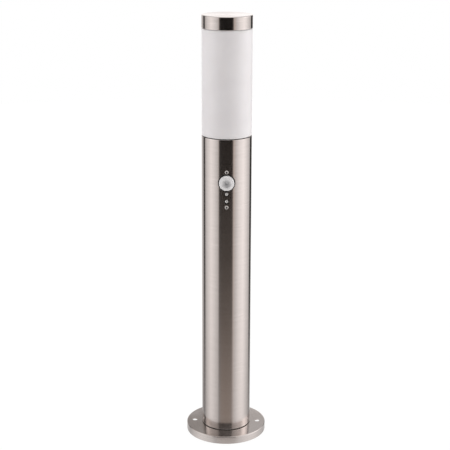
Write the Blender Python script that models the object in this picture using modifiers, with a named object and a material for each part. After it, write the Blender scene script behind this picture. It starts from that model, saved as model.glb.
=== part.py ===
"""Bollard light: a round steel tube on a pressed base, with an opal head and a motion sensor.

The origin is the centre of the base's underside. +Z is up and the sensor faces -Y.
Each physical piece is one object. All sizes are in metres.
"""

import math

import bmesh
import bpy
from mathutils import Vector

# Overall sizes.
TOTAL_HEIGHT = 0.6615
HEAD_HEIGHT = 0.1802            # from the tube's upper rim to the top of the cap
CAP_HEIGHT = 0.0192
TUBE_DIAMETER = 0.0761
TUBE_WALL = 0.0015
BASE_DIAMETER = 0.125
BASE_HEIGHT = 0.012
BASE_SHEET = 0.0015
BASE_EDGE = 0.002               # outer radius of the pressed edge
CAP_WALL = 0.0012
CAP_EDGE = 0.0016               # outer radius of the cap's upper edge

# Clearances.
GAP = 0.0003                    # between pieces that touch
SLIDE_FIT = 0.00045             # around the spigots of the head
THREAD_FIT = 0.0006             # around the lamp cap in its sleeve

# Base and foot.
ANCHOR_RADIUS = 0.050           # from the axis to an anchor hole
ANCHOR_HOLE = 0.008
ANCHOR_TURN = math.radians(-2)  # the base sits a little turned against the sensor
INLET_RADIUS = 0.010            # hole in the base for the grommet
GROMMET_BORE = 0.005
GROMMET_LIP = 0.0028            # how far the grommet's lips reach past its hole
LIP_THICKNESS = 0.0015
SEAL_THICKNESS = 0.0005
FOOT_SHEET = 0.002
FOOT_RIM_HEIGHT = 0.0175
FOOT_OPENING = 0.0145
FOOT_SCREW_MARGIN = 0.00825     # between a screw's axis and the foot bracket's rim
FOOT_SCREW_RADIUS = 0.0025
FOOT_SCREW_HEAD = (0.0046, 0.0028)      # radius and height of a screw's head
FOOT_SCREW_PAST = 0.004         # how far the screws reach past the foot bracket

# Wiring plate in the foot.
PLATE_FRONT = 0.014             # how far behind the axis the plate's front face lies
PLATE_SHEET = 0.0012
PLATE_WIDTH = 0.036
PLATE_HEIGHT = 0.0714
TAB_WIDTH = 0.020
TAB_MARGIN = 0.00263            # between the tab's corners and the foot bracket's rim
TAB_SCREW_RADIUS = 0.002
TAB_SCREW_HEAD = (0.0038, 0.0024)
TAB_SCREW_SHARE = 0.65          # place of the tab's screw between the plate and the tab's end
THREAD_PAST = 0.003             # how far the plate's other screws reach past it
BLOCK_SIZE = (0.034, 0.016, 0.022)
BLOCK_RISE = 0.0354             # from the plate's lower end to the block
POLE_PITCH = 0.010
POLE_BORE = 0.0022
POLE_DEPTH = 0.0082             # from the plate to the middle of the bores
CLAMP_SIZE = (0.030, 0.004, 0.008)
CLAMP_RISE = 0.0134
CLAMP_SPACE = 0.0085            # room for the mains cable between clamp and plate
CLAMP_SCREW_OFFSET = 0.011
CLAMP_SCREW_RADIUS = 0.0016
CLAMP_SCREW_HEAD = (0.0031, 0.0021)
CLAMP_SADDLE = 0.55             # radius of the clamp's hollow against the room for the cable
BLOCK_SCREW_RADIUS = 0.0015
BLOCK_SCREW_HEAD = (0.0026, 0.0016)
TERMINAL_SCREW_RADIUS = 0.0020
TERMINAL_SCREW_SET = 0.0008     # how far the terminal screws lie behind the block's face
EARTH_OFFSET = 0.011
EARTH_RISE = 0.0644
EARTH_SCREW_RADIUS = 0.002
EARTH_SCREW_HEAD = (0.0035, 0.0024)
LUG_SHEET = 0.0008
LUG_RADIUS = 0.0042
LUG_TAB_WIDTH = 0.0028
LUG_TAB_REACH = 0.010           # from the earth screw's axis to the end of the lug's tab
MOULDED_EDGE = 0.0006           # chamfer on the moulded blocks

# Motion sensor, measured from the tube's rim and from the lens.
LENS_DROP = 0.0655              # from the tube's rim down to the middle of the lens
LENS_RADIUS = 0.01165
LENS_WALL = 0.001
LENS_STAND = 0.0008             # how far the dome's foot stands out of the tube
DOME_HEIGHT = 0.0062
COLLAR_WALL = 0.0009
COLLAR_FIT = 0.00025            # between the lens and the collar
COLLAR_STAND = 0.0012
UPPER_SCREW_SPACE = 0.00115     # between the collar and the upper screw's head
ADJUSTER_SPACE = 0.001          # between the collar and the first adjuster's window
ADJUSTER_PITCH = 0.0111         # from one adjuster to the next
LOWER_SCREW_PITCH = 0.0087      # from the second adjuster to the lower screw
SENSOR_SCREW_RADIUS = 0.0016
SENSOR_HEAD_RADIUS = 0.00275
SENSOR_HEAD_HEIGHT = 0.0019
SOCKET_WIDTH = 0.0024           # across the flats of the screws' hexagon sockets
KNOB_RADIUS = 0.0030
KNOB_RECESS = 0.0009            # how far the knobs lie behind the tube's surface
KNOB_WINDOW = 0.0037            # radius of the holes that the knobs are turned through
HOUSING_WIDTH = 0.034
HOUSING_WALL = 0.0018
HOUSING_END = 0.007             # wall and margin past the outer screws
HOUSING_DEPTH = 0.0292          # from the front of the curved wall to the open back
BOSS_RADIUS = 0.0032
BOSS_LENGTH = 0.0062
BOARD_SETBACK = 0.0089          # from the tube's inner wall to the front of the board
BOARD_SHEET = 0.0016
BOARD_SPACE = 0.0006            # between the board and the housing's side walls
BOARD_END_SPACE = 0.0012
DETECTOR_RADIUS = 0.0042
DETECTOR_FLANGE = (0.0046, 0.0006)      # radius and thickness
DETECTOR_HEIGHT = 0.0042
DETECTOR_WINDOW = (0.004, 0.003, 0.0004)
LENS_CLEARANCE = 0.0025         # between the board and the foot of the lens
RELAY_SIZE = (0.0154, 0.0105, 0.019)
RELAY_DROP = 0.012              # from the middle of the lens down to the relay's lower end
CAPACITOR_RADIUS = 0.0050
CAPACITOR_LENGTH = 0.012
TRIMMER_SIZE = (0.0064, 0.0033, 0.0064)
TRIMMER_BORE = 0.0018
KNOB_LENGTH = 0.0042
KNOB_SHAFT = 0.0015
KNOB_SHAFT_DEPTH = 0.0017       # how far the knobs' shafts reach into the trimmers
KNOB_EDGE = 0.0004
KNOB_SLOT = (0.0024, 0.0009, 0.0011)    # half length, width and depth
LUX_SETTING = math.radians(60)
TIME_SETTING = math.radians(110)

# Lamp and its holder, measured from the tube's rim.
HOLDER_DROP = 0.0333            # from the rim down to the top of the holder's plate
HOLDER_SHEET = 0.0015
HOLDER_RIM_HEIGHT = 0.012
HOLDER_RADIUS = 0.0195
HOLDER_HEIGHT = 0.034
HOLDER_FLOOR = 0.0047
HOLDER_SCREW_OFFSET = 0.012
HOLDER_SCREW_RADIUS = 0.0015
HOLDER_SCREW_HEAD = (0.0029, 0.0019)
HOLDER_SCREW_PAST = 0.0038
LAMP_CAP_RADIUS = 0.0133
SLEEVE_WALL = 0.0004
LAMP_CAP_HEIGHT = 0.0227
LAMP_BODY_HEIGHT = 0.0422
LAMP_DOME_HEIGHT = 0.038
LAMP_AIR = 0.0042               # free space between the lamp and the diffuser
LAMP_SHELL_WALL = 0.0006
LAMP_BODY_WALL = 0.0016
LAMP_DOME_WALL = 0.0012
LAMP_CAP_RISE = 0.0088          # from the holder's floor to the lamp's metal cap
LAMP_FLARE = 1.35               # how late the lamp's body widens
TIP_RADIUS = 0.0046
TIP_HEIGHT = 0.0022
CONTACT_HEIGHT = 0.0021
CONTACT_SHEET = 0.0006
SLEEVE_RISE = 0.004             # from the holder's floor to the threaded sleeve

# Diffuser.
DIFFUSER_STEP = 0.00035         # the diffuser is this much smaller in radius than the tube
DIFFUSER_WALL = 0.0035
SPIGOT_LENGTH = 0.012
GROOVE_DEPTH = 0.001
GROOVE_HEIGHT = 0.002

# Wires.
WIRE_RADIUS = 0.0012
WIRE_HOLE = 0.0017
WIRE_OFFSET = 0.005             # sideways place of the paired wires
WIRE_BACK = 0.0065              # from the tube's inner wall to the wires' run up the back
WIRE_SPREAD = 0.001             # how much further apart the lamp's wires enter the holder
LAMP_WIRE_SPACE = 0.00495       # from the sensor's cover to the lamp's wires in the holder
WIRE_BED = 0.009                # how far the wires reach into the terminal block

PAST = 0.001                    # how far a cutting tool reaches past a face
EDGE = 0.0003                   # small chamfers

# Roundness.
LARGE_STEPS = 48
RING_STEPS = 48
MEDIUM_STEPS = 24
LAMP_STEPS = 24
SMALL_STEPS = 14
SCREW_STEPS = 10

# Places that follow from the sizes above.
tube_radius = TUBE_DIAMETER / 2
tube_bore = tube_radius - TUBE_WALL
foot_screw_offset = tube_bore - GAP - FOOT_SHEET - FOOT_SCREW_MARGIN
tab_reach = tube_bore - GAP - FOOT_SHEET - TAB_MARGIN
tab_end = math.sqrt(tab_reach ** 2 - (TAB_WIDTH / 2) ** 2)
tab_screw_depth = PLATE_FRONT + (tab_end - PLATE_FRONT) * TAB_SCREW_SHARE
tube_foot = BASE_HEIGHT + GAP + SEAL_THICKNESS + GAP
tube_rim = TOTAL_HEIGHT - HEAD_HEIGHT
foot_floor = BASE_HEIGHT + GAP
plate_foot = foot_floor + FOOT_SHEET + GAP
block_foot = plate_foot + BLOCK_RISE
block_front = PLATE_FRONT - GAP - BLOCK_SIZE[1]
pole_depth = PLATE_FRONT - POLE_DEPTH
clamp_height = plate_foot + CLAMP_RISE + CLAMP_SIZE[2] / 2
earth_height = plate_foot + EARTH_RISE
lens_height = tube_rim - LENS_DROP
collar_radius = LENS_RADIUS + COLLAR_FIT + COLLAR_WALL
upper_screw_height = lens_height + collar_radius + UPPER_SCREW_SPACE + SENSOR_HEAD_RADIUS
lux_height = lens_height - collar_radius - ADJUSTER_SPACE - KNOB_WINDOW
time_height = lux_height - ADJUSTER_PITCH
lower_screw_height = time_height - LOWER_SCREW_PITCH
housing_top = upper_screw_height + HOUSING_END
housing_foot = lower_screw_height - HOUSING_END
housing_radius = tube_bore - GAP
housing_back = housing_radius - HOUSING_DEPTH
board_front = tube_bore - BOARD_SETBACK
board_back = board_front - BOARD_SHEET
cover_back = housing_back - GAP - HOUSING_WALL
lamp_wire_depth = LAMP_WIRE_SPACE - cover_back
lamp_wire_offset = WIRE_OFFSET + WIRE_SPREAD
holder_floor = tube_rim - HOLDER_DROP
holder_foot = holder_floor + GAP
holder_cavity = holder_foot + HOLDER_FLOOR
sleeve_radius = LAMP_CAP_RADIUS + THREAD_FIT
lamp_cap_foot = holder_cavity + LAMP_CAP_RISE
lamp_body_foot = lamp_cap_foot + LAMP_CAP_HEIGHT + GAP
lamp_dome_foot = lamp_body_foot + LAMP_BODY_HEIGHT + GAP
diffuser_radius = tube_radius - DIFFUSER_STEP
diffuser_bore = diffuser_radius - DIFFUSER_WALL
lamp_radius = diffuser_bore - LAMP_AIR
diffuser_foot = tube_rim + GAP + SEAL_THICKNESS + GAP
cap_foot = TOTAL_HEIGHT - CAP_HEIGHT
cap_bore = tube_radius - CAP_WALL
diffuser_shoulder = cap_foot - GAP - SEAL_THICKNESS - GAP
lower_spigot = tube_bore - SLIDE_FIT
upper_spigot = cap_bore - SLIDE_FIT
groove_middle = diffuser_foot - SPIGOT_LENGTH / 2
wire_column = tube_bore - WIRE_BACK
upper_exit = upper_screw_height - 0.0015
lower_exit = lower_screw_height + 0.0015


def clear_scene():
    for old_object in list(bpy.data.objects):
        bpy.data.objects.remove(old_object, do_unlink=True)


def new_collection(name):
    collection = bpy.data.collections.new(name)
    bpy.context.scene.collection.children.link(collection)
    return collection


def finish(name, colour, roughness, metallic=0.0):
    material = bpy.data.materials.new(name)
    material.use_nodes = True
    shader = material.node_tree.nodes["Principled BSDF"]
    shader.inputs["Base Color"].default_value = (*colour, 1.0)
    shader.inputs["Roughness"].default_value = roughness
    shader.inputs["Metallic"].default_value = metallic
    material.diffuse_color = (*colour, 1.0)
    return material


clear_scene()
parts = new_collection("bollard_light")
cutters = new_collection("cutters")

brushed_steel = finish("brushed_steel", (0.62, 0.58, 0.56), 0.32, 1.0)
zinc_steel = finish("zinc_steel", (0.66, 0.67, 0.68), 0.4, 1.0)
bright_steel = finish("bright_steel", (0.78, 0.77, 0.76), 0.22, 1.0)
brass = finish("brass", (0.78, 0.6, 0.32), 0.3, 1.0)
opal_plastic = finish("opal_plastic", (0.86, 0.85, 0.86), 0.35)
lens_plastic = finish("lens_plastic", (0.82, 0.83, 0.84), 0.3)
black_plastic = finish("black_plastic", (0.03, 0.03, 0.03), 0.45)
white_plastic = finish("white_plastic", (0.8, 0.8, 0.78), 0.45)
grey_plastic = finish("grey_plastic", (0.55, 0.56, 0.57), 0.45)
black_rubber = finish("black_rubber", (0.025, 0.025, 0.025), 0.8)
white_rubber = finish("white_rubber", (0.75, 0.75, 0.74), 0.7)
green_board = finish("green_board", (0.04, 0.22, 0.1), 0.5)
blue_plastic = finish("blue_plastic", (0.06, 0.2, 0.6), 0.45)
brown_plastic = finish("brown_plastic", (0.25, 0.11, 0.05), 0.45)
yellow_green = finish("yellow_green", (0.5, 0.62, 0.08), 0.45)


def place(thing, collection, material=None):
    collection.objects.link(thing)
    if material:
        thing.data.materials.append(material)
    else:
        thing.hide_render = True
        thing.display_type = "WIRE"
    return thing


def arc(centre, radius, start, end, steps=4):
    """Points of a round corner from one angle to another, in degrees."""
    points = []
    for step in range(steps + 1):
        angle = math.radians(start + (end - start) * step / steps)
        points.append((centre[0] + radius * math.cos(angle), centre[1] + radius * math.sin(angle)))
    return points


def turned(name, outline, material=None, steps=MEDIUM_STEPS, ring=True):
    """Turn an outline of (radius, height) points, running down the outer side, about the axis."""
    mesh = bpy.data.meshes.new(name)
    points = [(radius, 0.0, height) for radius, height in outline]
    edges = [(index, index + 1) for index in range(len(points) - 1)]
    if ring:
        edges.append((len(points) - 1, 0))
    mesh.from_pydata(points, edges, [])
    thing = bpy.data.objects.new(name, mesh)
    place(thing, parts if material else cutters, material)
    screw = thing.modifiers.new("turn", "SCREW")
    screw.angle = math.tau
    screw.steps = steps
    screw.render_steps = steps
    screw.use_merge_vertices = True
    screw.merge_threshold = 0.00001
    screw.use_smooth_shade = True
    return thing


def ring_of(name, inner, outer, low, high, material, steps=MEDIUM_STEPS, chamfer=0.0):
    """A plain ring, or a short tube, with an optional chamfer on its outer edges."""
    outline = [(inner, high), (outer - chamfer, high), (outer, high - chamfer)]
    outline += [(outer, low + chamfer), (outer - chamfer, low), (inner, low)]
    if not chamfer:
        outline = [(inner, high), (outer, high), (outer, low), (inner, low)]
    return turned(name, outline, material, steps)


def box(name, low, high, material=None, bevel=0.0):
    mesh = bpy.data.meshes.new(name)
    shape = bmesh.new()
    bmesh.ops.create_cube(shape, size=1.0)
    size = Vector(high) - Vector(low)
    middle = (Vector(high) + Vector(low)) / 2
    bmesh.ops.scale(shape, vec=size, verts=shape.verts)
    shape.to_mesh(mesh)
    shape.free()
    thing = bpy.data.objects.new(name, mesh)
    thing.location = middle
    place(thing, parts if material else cutters, material)
    if bevel:
        edge = thing.modifiers.new("edge", "BEVEL")
        edge.width = bevel
        edge.segments = 1
    return thing


def rod(name, radius, start, end, material=None, steps=SMALL_STEPS):
    """A cylinder, or a prism with few steps, between two points."""
    mesh = bpy.data.meshes.new(name)
    shape = bmesh.new()
    run = Vector(end) - Vector(start)
    bmesh.ops.create_cone(
        shape, cap_ends=True, segments=steps, radius1=radius, radius2=radius, depth=run.length
    )
    shape.to_mesh(mesh)
    shape.free()
    thing = bpy.data.objects.new(name, mesh)
    thing.location = (Vector(start) + Vector(end)) / 2
    thing.rotation_euler = run.to_track_quat("Z", "Y").to_euler()
    return place(thing, parts if material else cutters, material)


def cut(thing, tool, operation="DIFFERENCE"):
    step = thing.modifiers.new(tool.name, "BOOLEAN")
    step.operation = operation
    step.solver = "EXACT"
    step.object = tool
    return thing


def drill(thing, radius, start, end, steps=SMALL_STEPS):
    return cut(thing, rod(thing.name + "_hole", radius, start, end, steps=steps))


def face_front(thing, height, side=0.0):
    """Point a turned piece's axis out of the tube's front at the given height."""
    thing.rotation_euler = (math.pi / 2, 0.0, 0.0)
    thing.location = (side, 0.0, height)
    return thing


def slot(thing, reach, width, depth, head, turn=0.0):
    """Cut a screwdriver slot into the upper end of a turned piece, in the piece's own frame."""
    tool = box(thing.name + "_slot", (-reach, -width / 2, -depth), (reach, width / 2, depth))
    tool.location = (0.0, 0.0, head)
    tool.rotation_euler = (0.0, 0.0, turn)
    tool.parent = thing
    return cut(thing, tool)


def screw(name, shank, length, head, material=zinc_steel):
    """A round-headed screw whose head sits on height 0 and whose shank runs down."""
    radius, height = head
    outline = [(0.0, height), (radius * 0.75, height), (radius, height * 0.6), (radius, 0.0)]
    outline += [(shank, 0.0), (shank, EDGE - length), (shank - EDGE, -length), (0.0, -length)]
    piece = turned(name, outline, material, SCREW_STEPS, ring=False)
    slot(piece, radius * 0.8, radius * 0.28, height * 0.45, height)
    return piece


def smooth_route(knots, spacing=0.004):
    """Points along a smooth curve through the knots of a route."""
    ends = [knots[0], *knots, knots[-1]]
    points = []
    for before, start, end, after in zip(ends, ends[1:], ends[2:], ends[3:]):
        before, start, end, after = (Vector(knot) for knot in (before, start, end, after))
        count = max(1, round((end - start).length / spacing))
        for step in range(count):
            t = step / count
            bend = 2 * before - 5 * start + 4 * end - after
            twist = 3 * start - before - 3 * end + after
            points.append(start + ((end - before) * t + bend * t ** 2 + twist * t ** 3) / 2)
    points.append(Vector(knots[-1]))
    return points


def wire(name, knots, material, spacing=0.004):
    points = smooth_route(knots, spacing)
    data = bpy.data.curves.new(name, "CURVE")
    data.dimensions = "3D"
    data.bevel_depth = WIRE_RADIUS
    data.bevel_resolution = 2
    data.use_fill_caps = True
    line = data.splines.new("POLY")
    line.points.add(len(points) - 1)
    for point, place_at in zip(line.points, points):
        point.co = (*place_at, 1.0)
    return place(bpy.data.objects.new(name, data), parts, material)


# Base and foot.

def base_plate():
    rim = BASE_DIAMETER / 2
    inside = rim - BASE_SHEET
    under = BASE_HEIGHT - BASE_SHEET
    inner_edge = BASE_EDGE - BASE_SHEET
    outline = [(INLET_RADIUS, BASE_HEIGHT)]
    outline += arc((rim - BASE_EDGE, BASE_HEIGHT - BASE_EDGE), BASE_EDGE, 90, 0)
    outline += [(rim, 0.0), (inside, 0.0)]
    outline += arc((inside - inner_edge, under - inner_edge), inner_edge, 0, 90, steps=2)
    outline.append((INLET_RADIUS, under))
    plate = turned("base_plate", outline, brushed_steel, LARGE_STEPS)
    for turn in (ANCHOR_TURN, ANCHOR_TURN + math.pi):
        x = ANCHOR_RADIUS * math.cos(turn)
        y = ANCHOR_RADIUS * math.sin(turn)
        drill(plate, ANCHOR_HOLE / 2, (x, y, PAST), (x, y, BASE_HEIGHT + PAST), MEDIUM_STEPS)
    for side in (-1, 1):
        x = side * foot_screw_offset
        drill(plate, FOOT_SCREW_RADIUS + GAP, (x, 0, PAST), (x, 0, BASE_HEIGHT + PAST))
    return plate


def cable_grommet():
    neck = INLET_RADIUS - GAP
    lip = INLET_RADIUS + GROMMET_LIP
    top = BASE_HEIGHT + GAP
    under = BASE_HEIGHT - BASE_SHEET - GAP
    outline = [(GROMMET_BORE, top + LIP_THICKNESS), (lip - 2 * EDGE, top + LIP_THICKNESS)]
    outline += [(lip, top + LIP_THICKNESS - 2 * EDGE), (lip, top), (neck, top), (neck, under)]
    outline += [(lip, under), (lip, under - LIP_THICKNESS), (GROMMET_BORE, under - LIP_THICKNESS)]
    return turned("cable_grommet", outline, black_rubber)


def foot_seal():
    low = BASE_HEIGHT + GAP
    inner = tube_bore + GAP
    outer = tube_radius - GAP
    return ring_of("foot_seal", inner, outer, low, low + SEAL_THICKNESS, black_rubber, RING_STEPS)


def foot_bracket():
    outer = tube_bore - GAP
    top = foot_floor + FOOT_RIM_HEIGHT
    floor = foot_floor + FOOT_SHEET
    outline = [(outer - FOOT_SHEET, top), (outer, top), (outer, foot_floor)]
    outline += [(FOOT_OPENING, foot_floor), (FOOT_OPENING, floor), (outer - FOOT_SHEET, floor)]
    bracket = turned("foot_bracket", outline, zinc_steel, MEDIUM_STEPS)
    for side in (-1, 1):
        x = side * foot_screw_offset
        drill(bracket, FOOT_SCREW_RADIUS + GAP, (x, 0, foot_floor - PAST), (x, 0, floor + PAST))
    y = tab_screw_depth
    drill(bracket, TAB_SCREW_RADIUS + GAP, (0, y, foot_floor - PAST), (0, y, floor + PAST))
    return bracket


def foot_screws():
    reach = BASE_SHEET + GAP + FOOT_SHEET + FOOT_SCREW_PAST
    for side, name in ((-1, "foot_screw_left"), (1, "foot_screw_right")):
        piece = screw(name, FOOT_SCREW_RADIUS, reach, FOOT_SCREW_HEAD)
        piece.rotation_euler = (math.pi, 0.0, 0.0)
        piece.location = (side * foot_screw_offset, 0.0, BASE_HEIGHT - BASE_SHEET - GAP)


# Tube.

def body_tube():
    outline = [(tube_bore, tube_rim), (tube_radius - EDGE, tube_rim), (tube_radius, tube_rim - EDGE)]
    outline += [(tube_radius, tube_foot + EDGE), (tube_radius - EDGE, tube_foot)]
    outline.append((tube_bore, tube_foot))
    tube = turned("body_tube", outline, brushed_steel, LARGE_STEPS)
    openings = [(lens_height, collar_radius + GAP)]
    openings += [(lux_height, KNOB_WINDOW), (time_height, KNOB_WINDOW)]
    openings += [(upper_screw_height, SENSOR_SCREW_RADIUS + GAP)]
    openings += [(lower_screw_height, SENSOR_SCREW_RADIUS + GAP)]
    for height, radius in openings:
        steps = MEDIUM_STEPS if radius > KNOB_WINDOW else SMALL_STEPS
        drill(tube, radius, (0, -tube_radius - PAST, height), (0, 0, height), steps)
    return tube


# Wiring in the foot.

def terminal_bracket():
    back = PLATE_FRONT + PLATE_SHEET
    top = plate_foot + PLATE_HEIGHT
    half = PLATE_WIDTH / 2
    plate = box("terminal_bracket", (-half, PLATE_FRONT, plate_foot), (half, back, top), zinc_steel)
    tab_top = plate_foot + PLATE_SHEET
    tab = box("tab", (-TAB_WIDTH / 2, PLATE_FRONT, plate_foot), (TAB_WIDTH / 2, tab_end, tab_top))
    cut(plate, tab, "UNION")
    y = tab_screw_depth
    drill(plate, TAB_SCREW_RADIUS + GAP, (0, y, plate_foot - PAST), (0, y, tab_top + PAST))
    block_middle = block_foot + BLOCK_SIZE[2] / 2
    holes = [(side * POLE_PITCH / 2, block_middle, BLOCK_SCREW_RADIUS) for side in (-1, 1)]
    holes += [(side * CLAMP_SCREW_OFFSET, clamp_height, CLAMP_SCREW_RADIUS) for side in (-1, 1)]
    holes.append((EARTH_OFFSET, earth_height, EARTH_SCREW_RADIUS))
    for x, z, radius in holes:
        drill(plate, radius + GAP, (x, PLATE_FRONT - PAST, z), (x, back + PAST, z))
    return plate


def bracket_screw():
    reach = PLATE_SHEET + GAP + FOOT_SHEET
    piece = screw("bracket_screw", TAB_SCREW_RADIUS, reach, TAB_SCREW_HEAD)
    height = plate_foot + PLATE_SHEET + GAP
    piece.location = (0.0, tab_screw_depth, height)


def terminal_block():
    half = BLOCK_SIZE[0] / 2
    top = block_foot + BLOCK_SIZE[2]
    back = PLATE_FRONT - GAP
    low = (-half, block_front, block_foot)
    block = box("terminal_block", low, (half, back, top), white_plastic, bevel=MOULDED_EDGE)
    middle = block_foot + BLOCK_SIZE[2] / 2
    for pole in (-1, 0, 1):
        x = pole * POLE_PITCH
        drill(block, POLE_BORE, (x, pole_depth, block_foot - PAST), (x, pole_depth, top + PAST))
        for side in (-1, 1):
            z = middle + side * BLOCK_SIZE[2] / 4
            drill(block, TERMINAL_SCREW_RADIUS + GAP, (x, block_front - PAST, z), (x, pole_depth, z))
            number = 2 * (pole + 1) + (side + 1) // 2 + 1
            terminal_screw(f"terminal_screw_{number}", x, z)
    for side, name in ((-1, "block_screw_left"), (1, "block_screw_right")):
        x = side * POLE_PITCH / 2
        drill(block, BLOCK_SCREW_RADIUS + GAP, (x, block_front - PAST, middle), (x, back + PAST, middle))
        reach = BLOCK_SIZE[1] + GAP + PLATE_SHEET + THREAD_PAST
        piece = screw(name, BLOCK_SCREW_RADIUS, reach, BLOCK_SCREW_HEAD)
        piece.rotation_euler = (math.pi / 2, 0.0, 0.0)
        piece.location = (x, block_front - GAP, middle)
    return block


def terminal_screw(name, x, z):
    length = pole_depth - WIRE_RADIUS - GAP - block_front - TERMINAL_SCREW_SET
    radius = TERMINAL_SCREW_RADIUS
    outline = [(0.0, length), (radius, length), (radius, EDGE), (radius - EDGE, 0.0), (0.0, 0.0)]
    piece = turned(name, outline, brass, SCREW_STEPS, ring=False)
    slot(piece, 2 * radius, 0.3 * radius, 0.5 * radius, length)
    piece.rotation_euler = (math.pi / 2, 0.0, 0.0)
    piece.location = (x, block_front + TERMINAL_SCREW_SET + length, z)


def cord_clamp():
    half = CLAMP_SIZE[0] / 2
    back = PLATE_FRONT - CLAMP_SPACE
    front = back - CLAMP_SIZE[1]
    low = clamp_height - CLAMP_SIZE[2] / 2
    high = clamp_height + CLAMP_SIZE[2] / 2
    clamp = box("cord_clamp", (-half, front, low), (half, back, high), black_plastic, bevel=MOULDED_EDGE)
    saddle = CLAMP_SPACE * CLAMP_SADDLE
    y = back + saddle * 0.62
    drill(clamp, saddle, (0, y, low - PAST), (0, y, high + PAST), MEDIUM_STEPS)
    reach = CLAMP_SIZE[1] + CLAMP_SPACE + PLATE_SHEET + THREAD_PAST
    for side, name in ((-1, "clamp_screw_left"), (1, "clamp_screw_right")):
        x = side * CLAMP_SCREW_OFFSET
        radius = CLAMP_SCREW_RADIUS + GAP
        drill(clamp, radius, (x, front - PAST, clamp_height), (x, back + PAST, clamp_height))
        piece = screw(name, CLAMP_SCREW_RADIUS, reach, CLAMP_SCREW_HEAD)
        piece.rotation_euler = (math.pi / 2, 0.0, 0.0)
        piece.location = (x, front - GAP, clamp_height)
    return clamp


def earth_terminal():
    lug_back = PLATE_FRONT - GAP
    lug_front = lug_back - LUG_SHEET
    middle = (EARTH_OFFSET, lug_front, earth_height)
    lug = rod("earth_lug", LUG_RADIUS, middle, (EARTH_OFFSET, lug_back, earth_height), zinc_steel)
    half = LUG_TAB_WIDTH / 2
    low = (EARTH_OFFSET - half, lug_front, earth_height + LUG_RADIUS / 2)
    tab = box("lug_tab", low, (EARTH_OFFSET + half, lug_back, earth_height + LUG_TAB_REACH))
    cut(lug, tab, "UNION")
    start = (EARTH_OFFSET, lug_front - PAST, earth_height)
    drill(lug, EARTH_SCREW_RADIUS + GAP, start, (EARTH_OFFSET, lug_back + PAST, earth_height))
    reach = LUG_SHEET + 2 * GAP + PLATE_SHEET + THREAD_PAST
    piece = screw("earth_screw", EARTH_SCREW_RADIUS, reach, EARTH_SCREW_HEAD, brass)
    piece.rotation_euler = (math.pi / 2, 0.0, 0.0)
    piece.location = (EARTH_OFFSET, lug_front - GAP, earth_height)


# Motion sensor.

def round_wall(name, radius):
    low = housing_foot - PAST
    high = housing_top + PAST
    return rod(name, radius, (0, 0, low), (0, 0, high), steps=LARGE_STEPS)


def sensor_housing():
    half = HOUSING_WIDTH / 2
    low = (-half, -tube_bore, housing_foot)
    housing = box("sensor_housing", low, (half, -housing_back, housing_top), black_plastic)
    cut(housing, round_wall("housing_front", housing_radius), "INTERSECT")
    inside = half - HOUSING_WALL
    low = (-inside, -tube_bore, housing_foot + HOUSING_WALL)
    high = (inside, PAST - housing_back, housing_top - HOUSING_WALL)
    cavity = box("housing_cavity", low, high)
    cut(cavity, round_wall("cavity_front", housing_radius - HOUSING_WALL), "INTERSECT")
    cut(housing, cavity)
    boss_back = housing_radius - BOSS_LENGTH
    for height in (upper_screw_height, lower_screw_height):
        front = housing_radius - HOUSING_WALL / 2
        boss = rod("boss", BOSS_RADIUS, (0, -front, height), (0, -boss_back, height))
        cut(housing, boss, "UNION")
        radius = SENSOR_SCREW_RADIUS + GAP
        drill(housing, radius, (0, -tube_radius, height), (0, PAST - boss_back, height))
    openings = [(lens_height, collar_radius + GAP, MEDIUM_STEPS)]
    openings += [(height, KNOB_RADIUS + GAP, SMALL_STEPS) for height in (lux_height, time_height)]
    for height, radius, steps in openings:
        back = housing_radius - 3 * HOUSING_WALL
        drill(housing, radius, (0, -tube_radius, height), (0, -back, height), steps)
    return housing


def sensor_cover():
    half = HOUSING_WIDTH / 2
    front = housing_back - GAP
    back = front - HOUSING_WALL
    low = (-half, -front, housing_foot)
    cover = box("sensor_cover", low, (half, -back, housing_top), black_plastic, bevel=MOULDED_EDGE)
    for height in (upper_exit, lower_exit):
        for side in (-1, 1):
            x = side * WIRE_OFFSET
            drill(cover, WIRE_HOLE, (x, -front - PAST, height), (x, PAST - back, height))
    return cover


def sensor_board():
    half = HOUSING_WIDTH / 2 - HOUSING_WALL - BOARD_SPACE
    foot = housing_foot + HOUSING_WALL + BOARD_END_SPACE
    top = housing_top - HOUSING_WALL - BOARD_END_SPACE
    board = box("sensor_board", (-half, -board_front, foot), (half, -board_back, top), green_board)
    for height in (upper_screw_height, lower_screw_height):
        start = (0, -board_front - PAST, height)
        drill(board, BOSS_RADIUS + GAP, start, (0, PAST - board_back, height))
    return board


def pir_detector():
    foot = board_front + GAP
    top = foot + DETECTOR_HEIGHT
    radius = DETECTOR_RADIUS
    flange, rim = DETECTOR_FLANGE
    outline = [(0.0, top), (radius - EDGE, top), (radius, top - EDGE), (radius, foot + rim)]
    outline += [(flange, foot + rim), (flange, foot), (0.0, foot)]
    can = turned("pir_detector", outline, bright_steel, 20, ring=False)
    half_width, half_height, depth = (size / 2 for size in DETECTOR_WINDOW)
    window = box("window", (-half_width, -half_height, -2 * depth), (half_width, half_height, 2 * depth))
    window.location = (0.0, 0.0, top)
    window.parent = can
    cut(can, window)
    face_front(can, lens_height)


def lens_foot():
    return board_front + LENS_CLEARANCE


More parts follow.
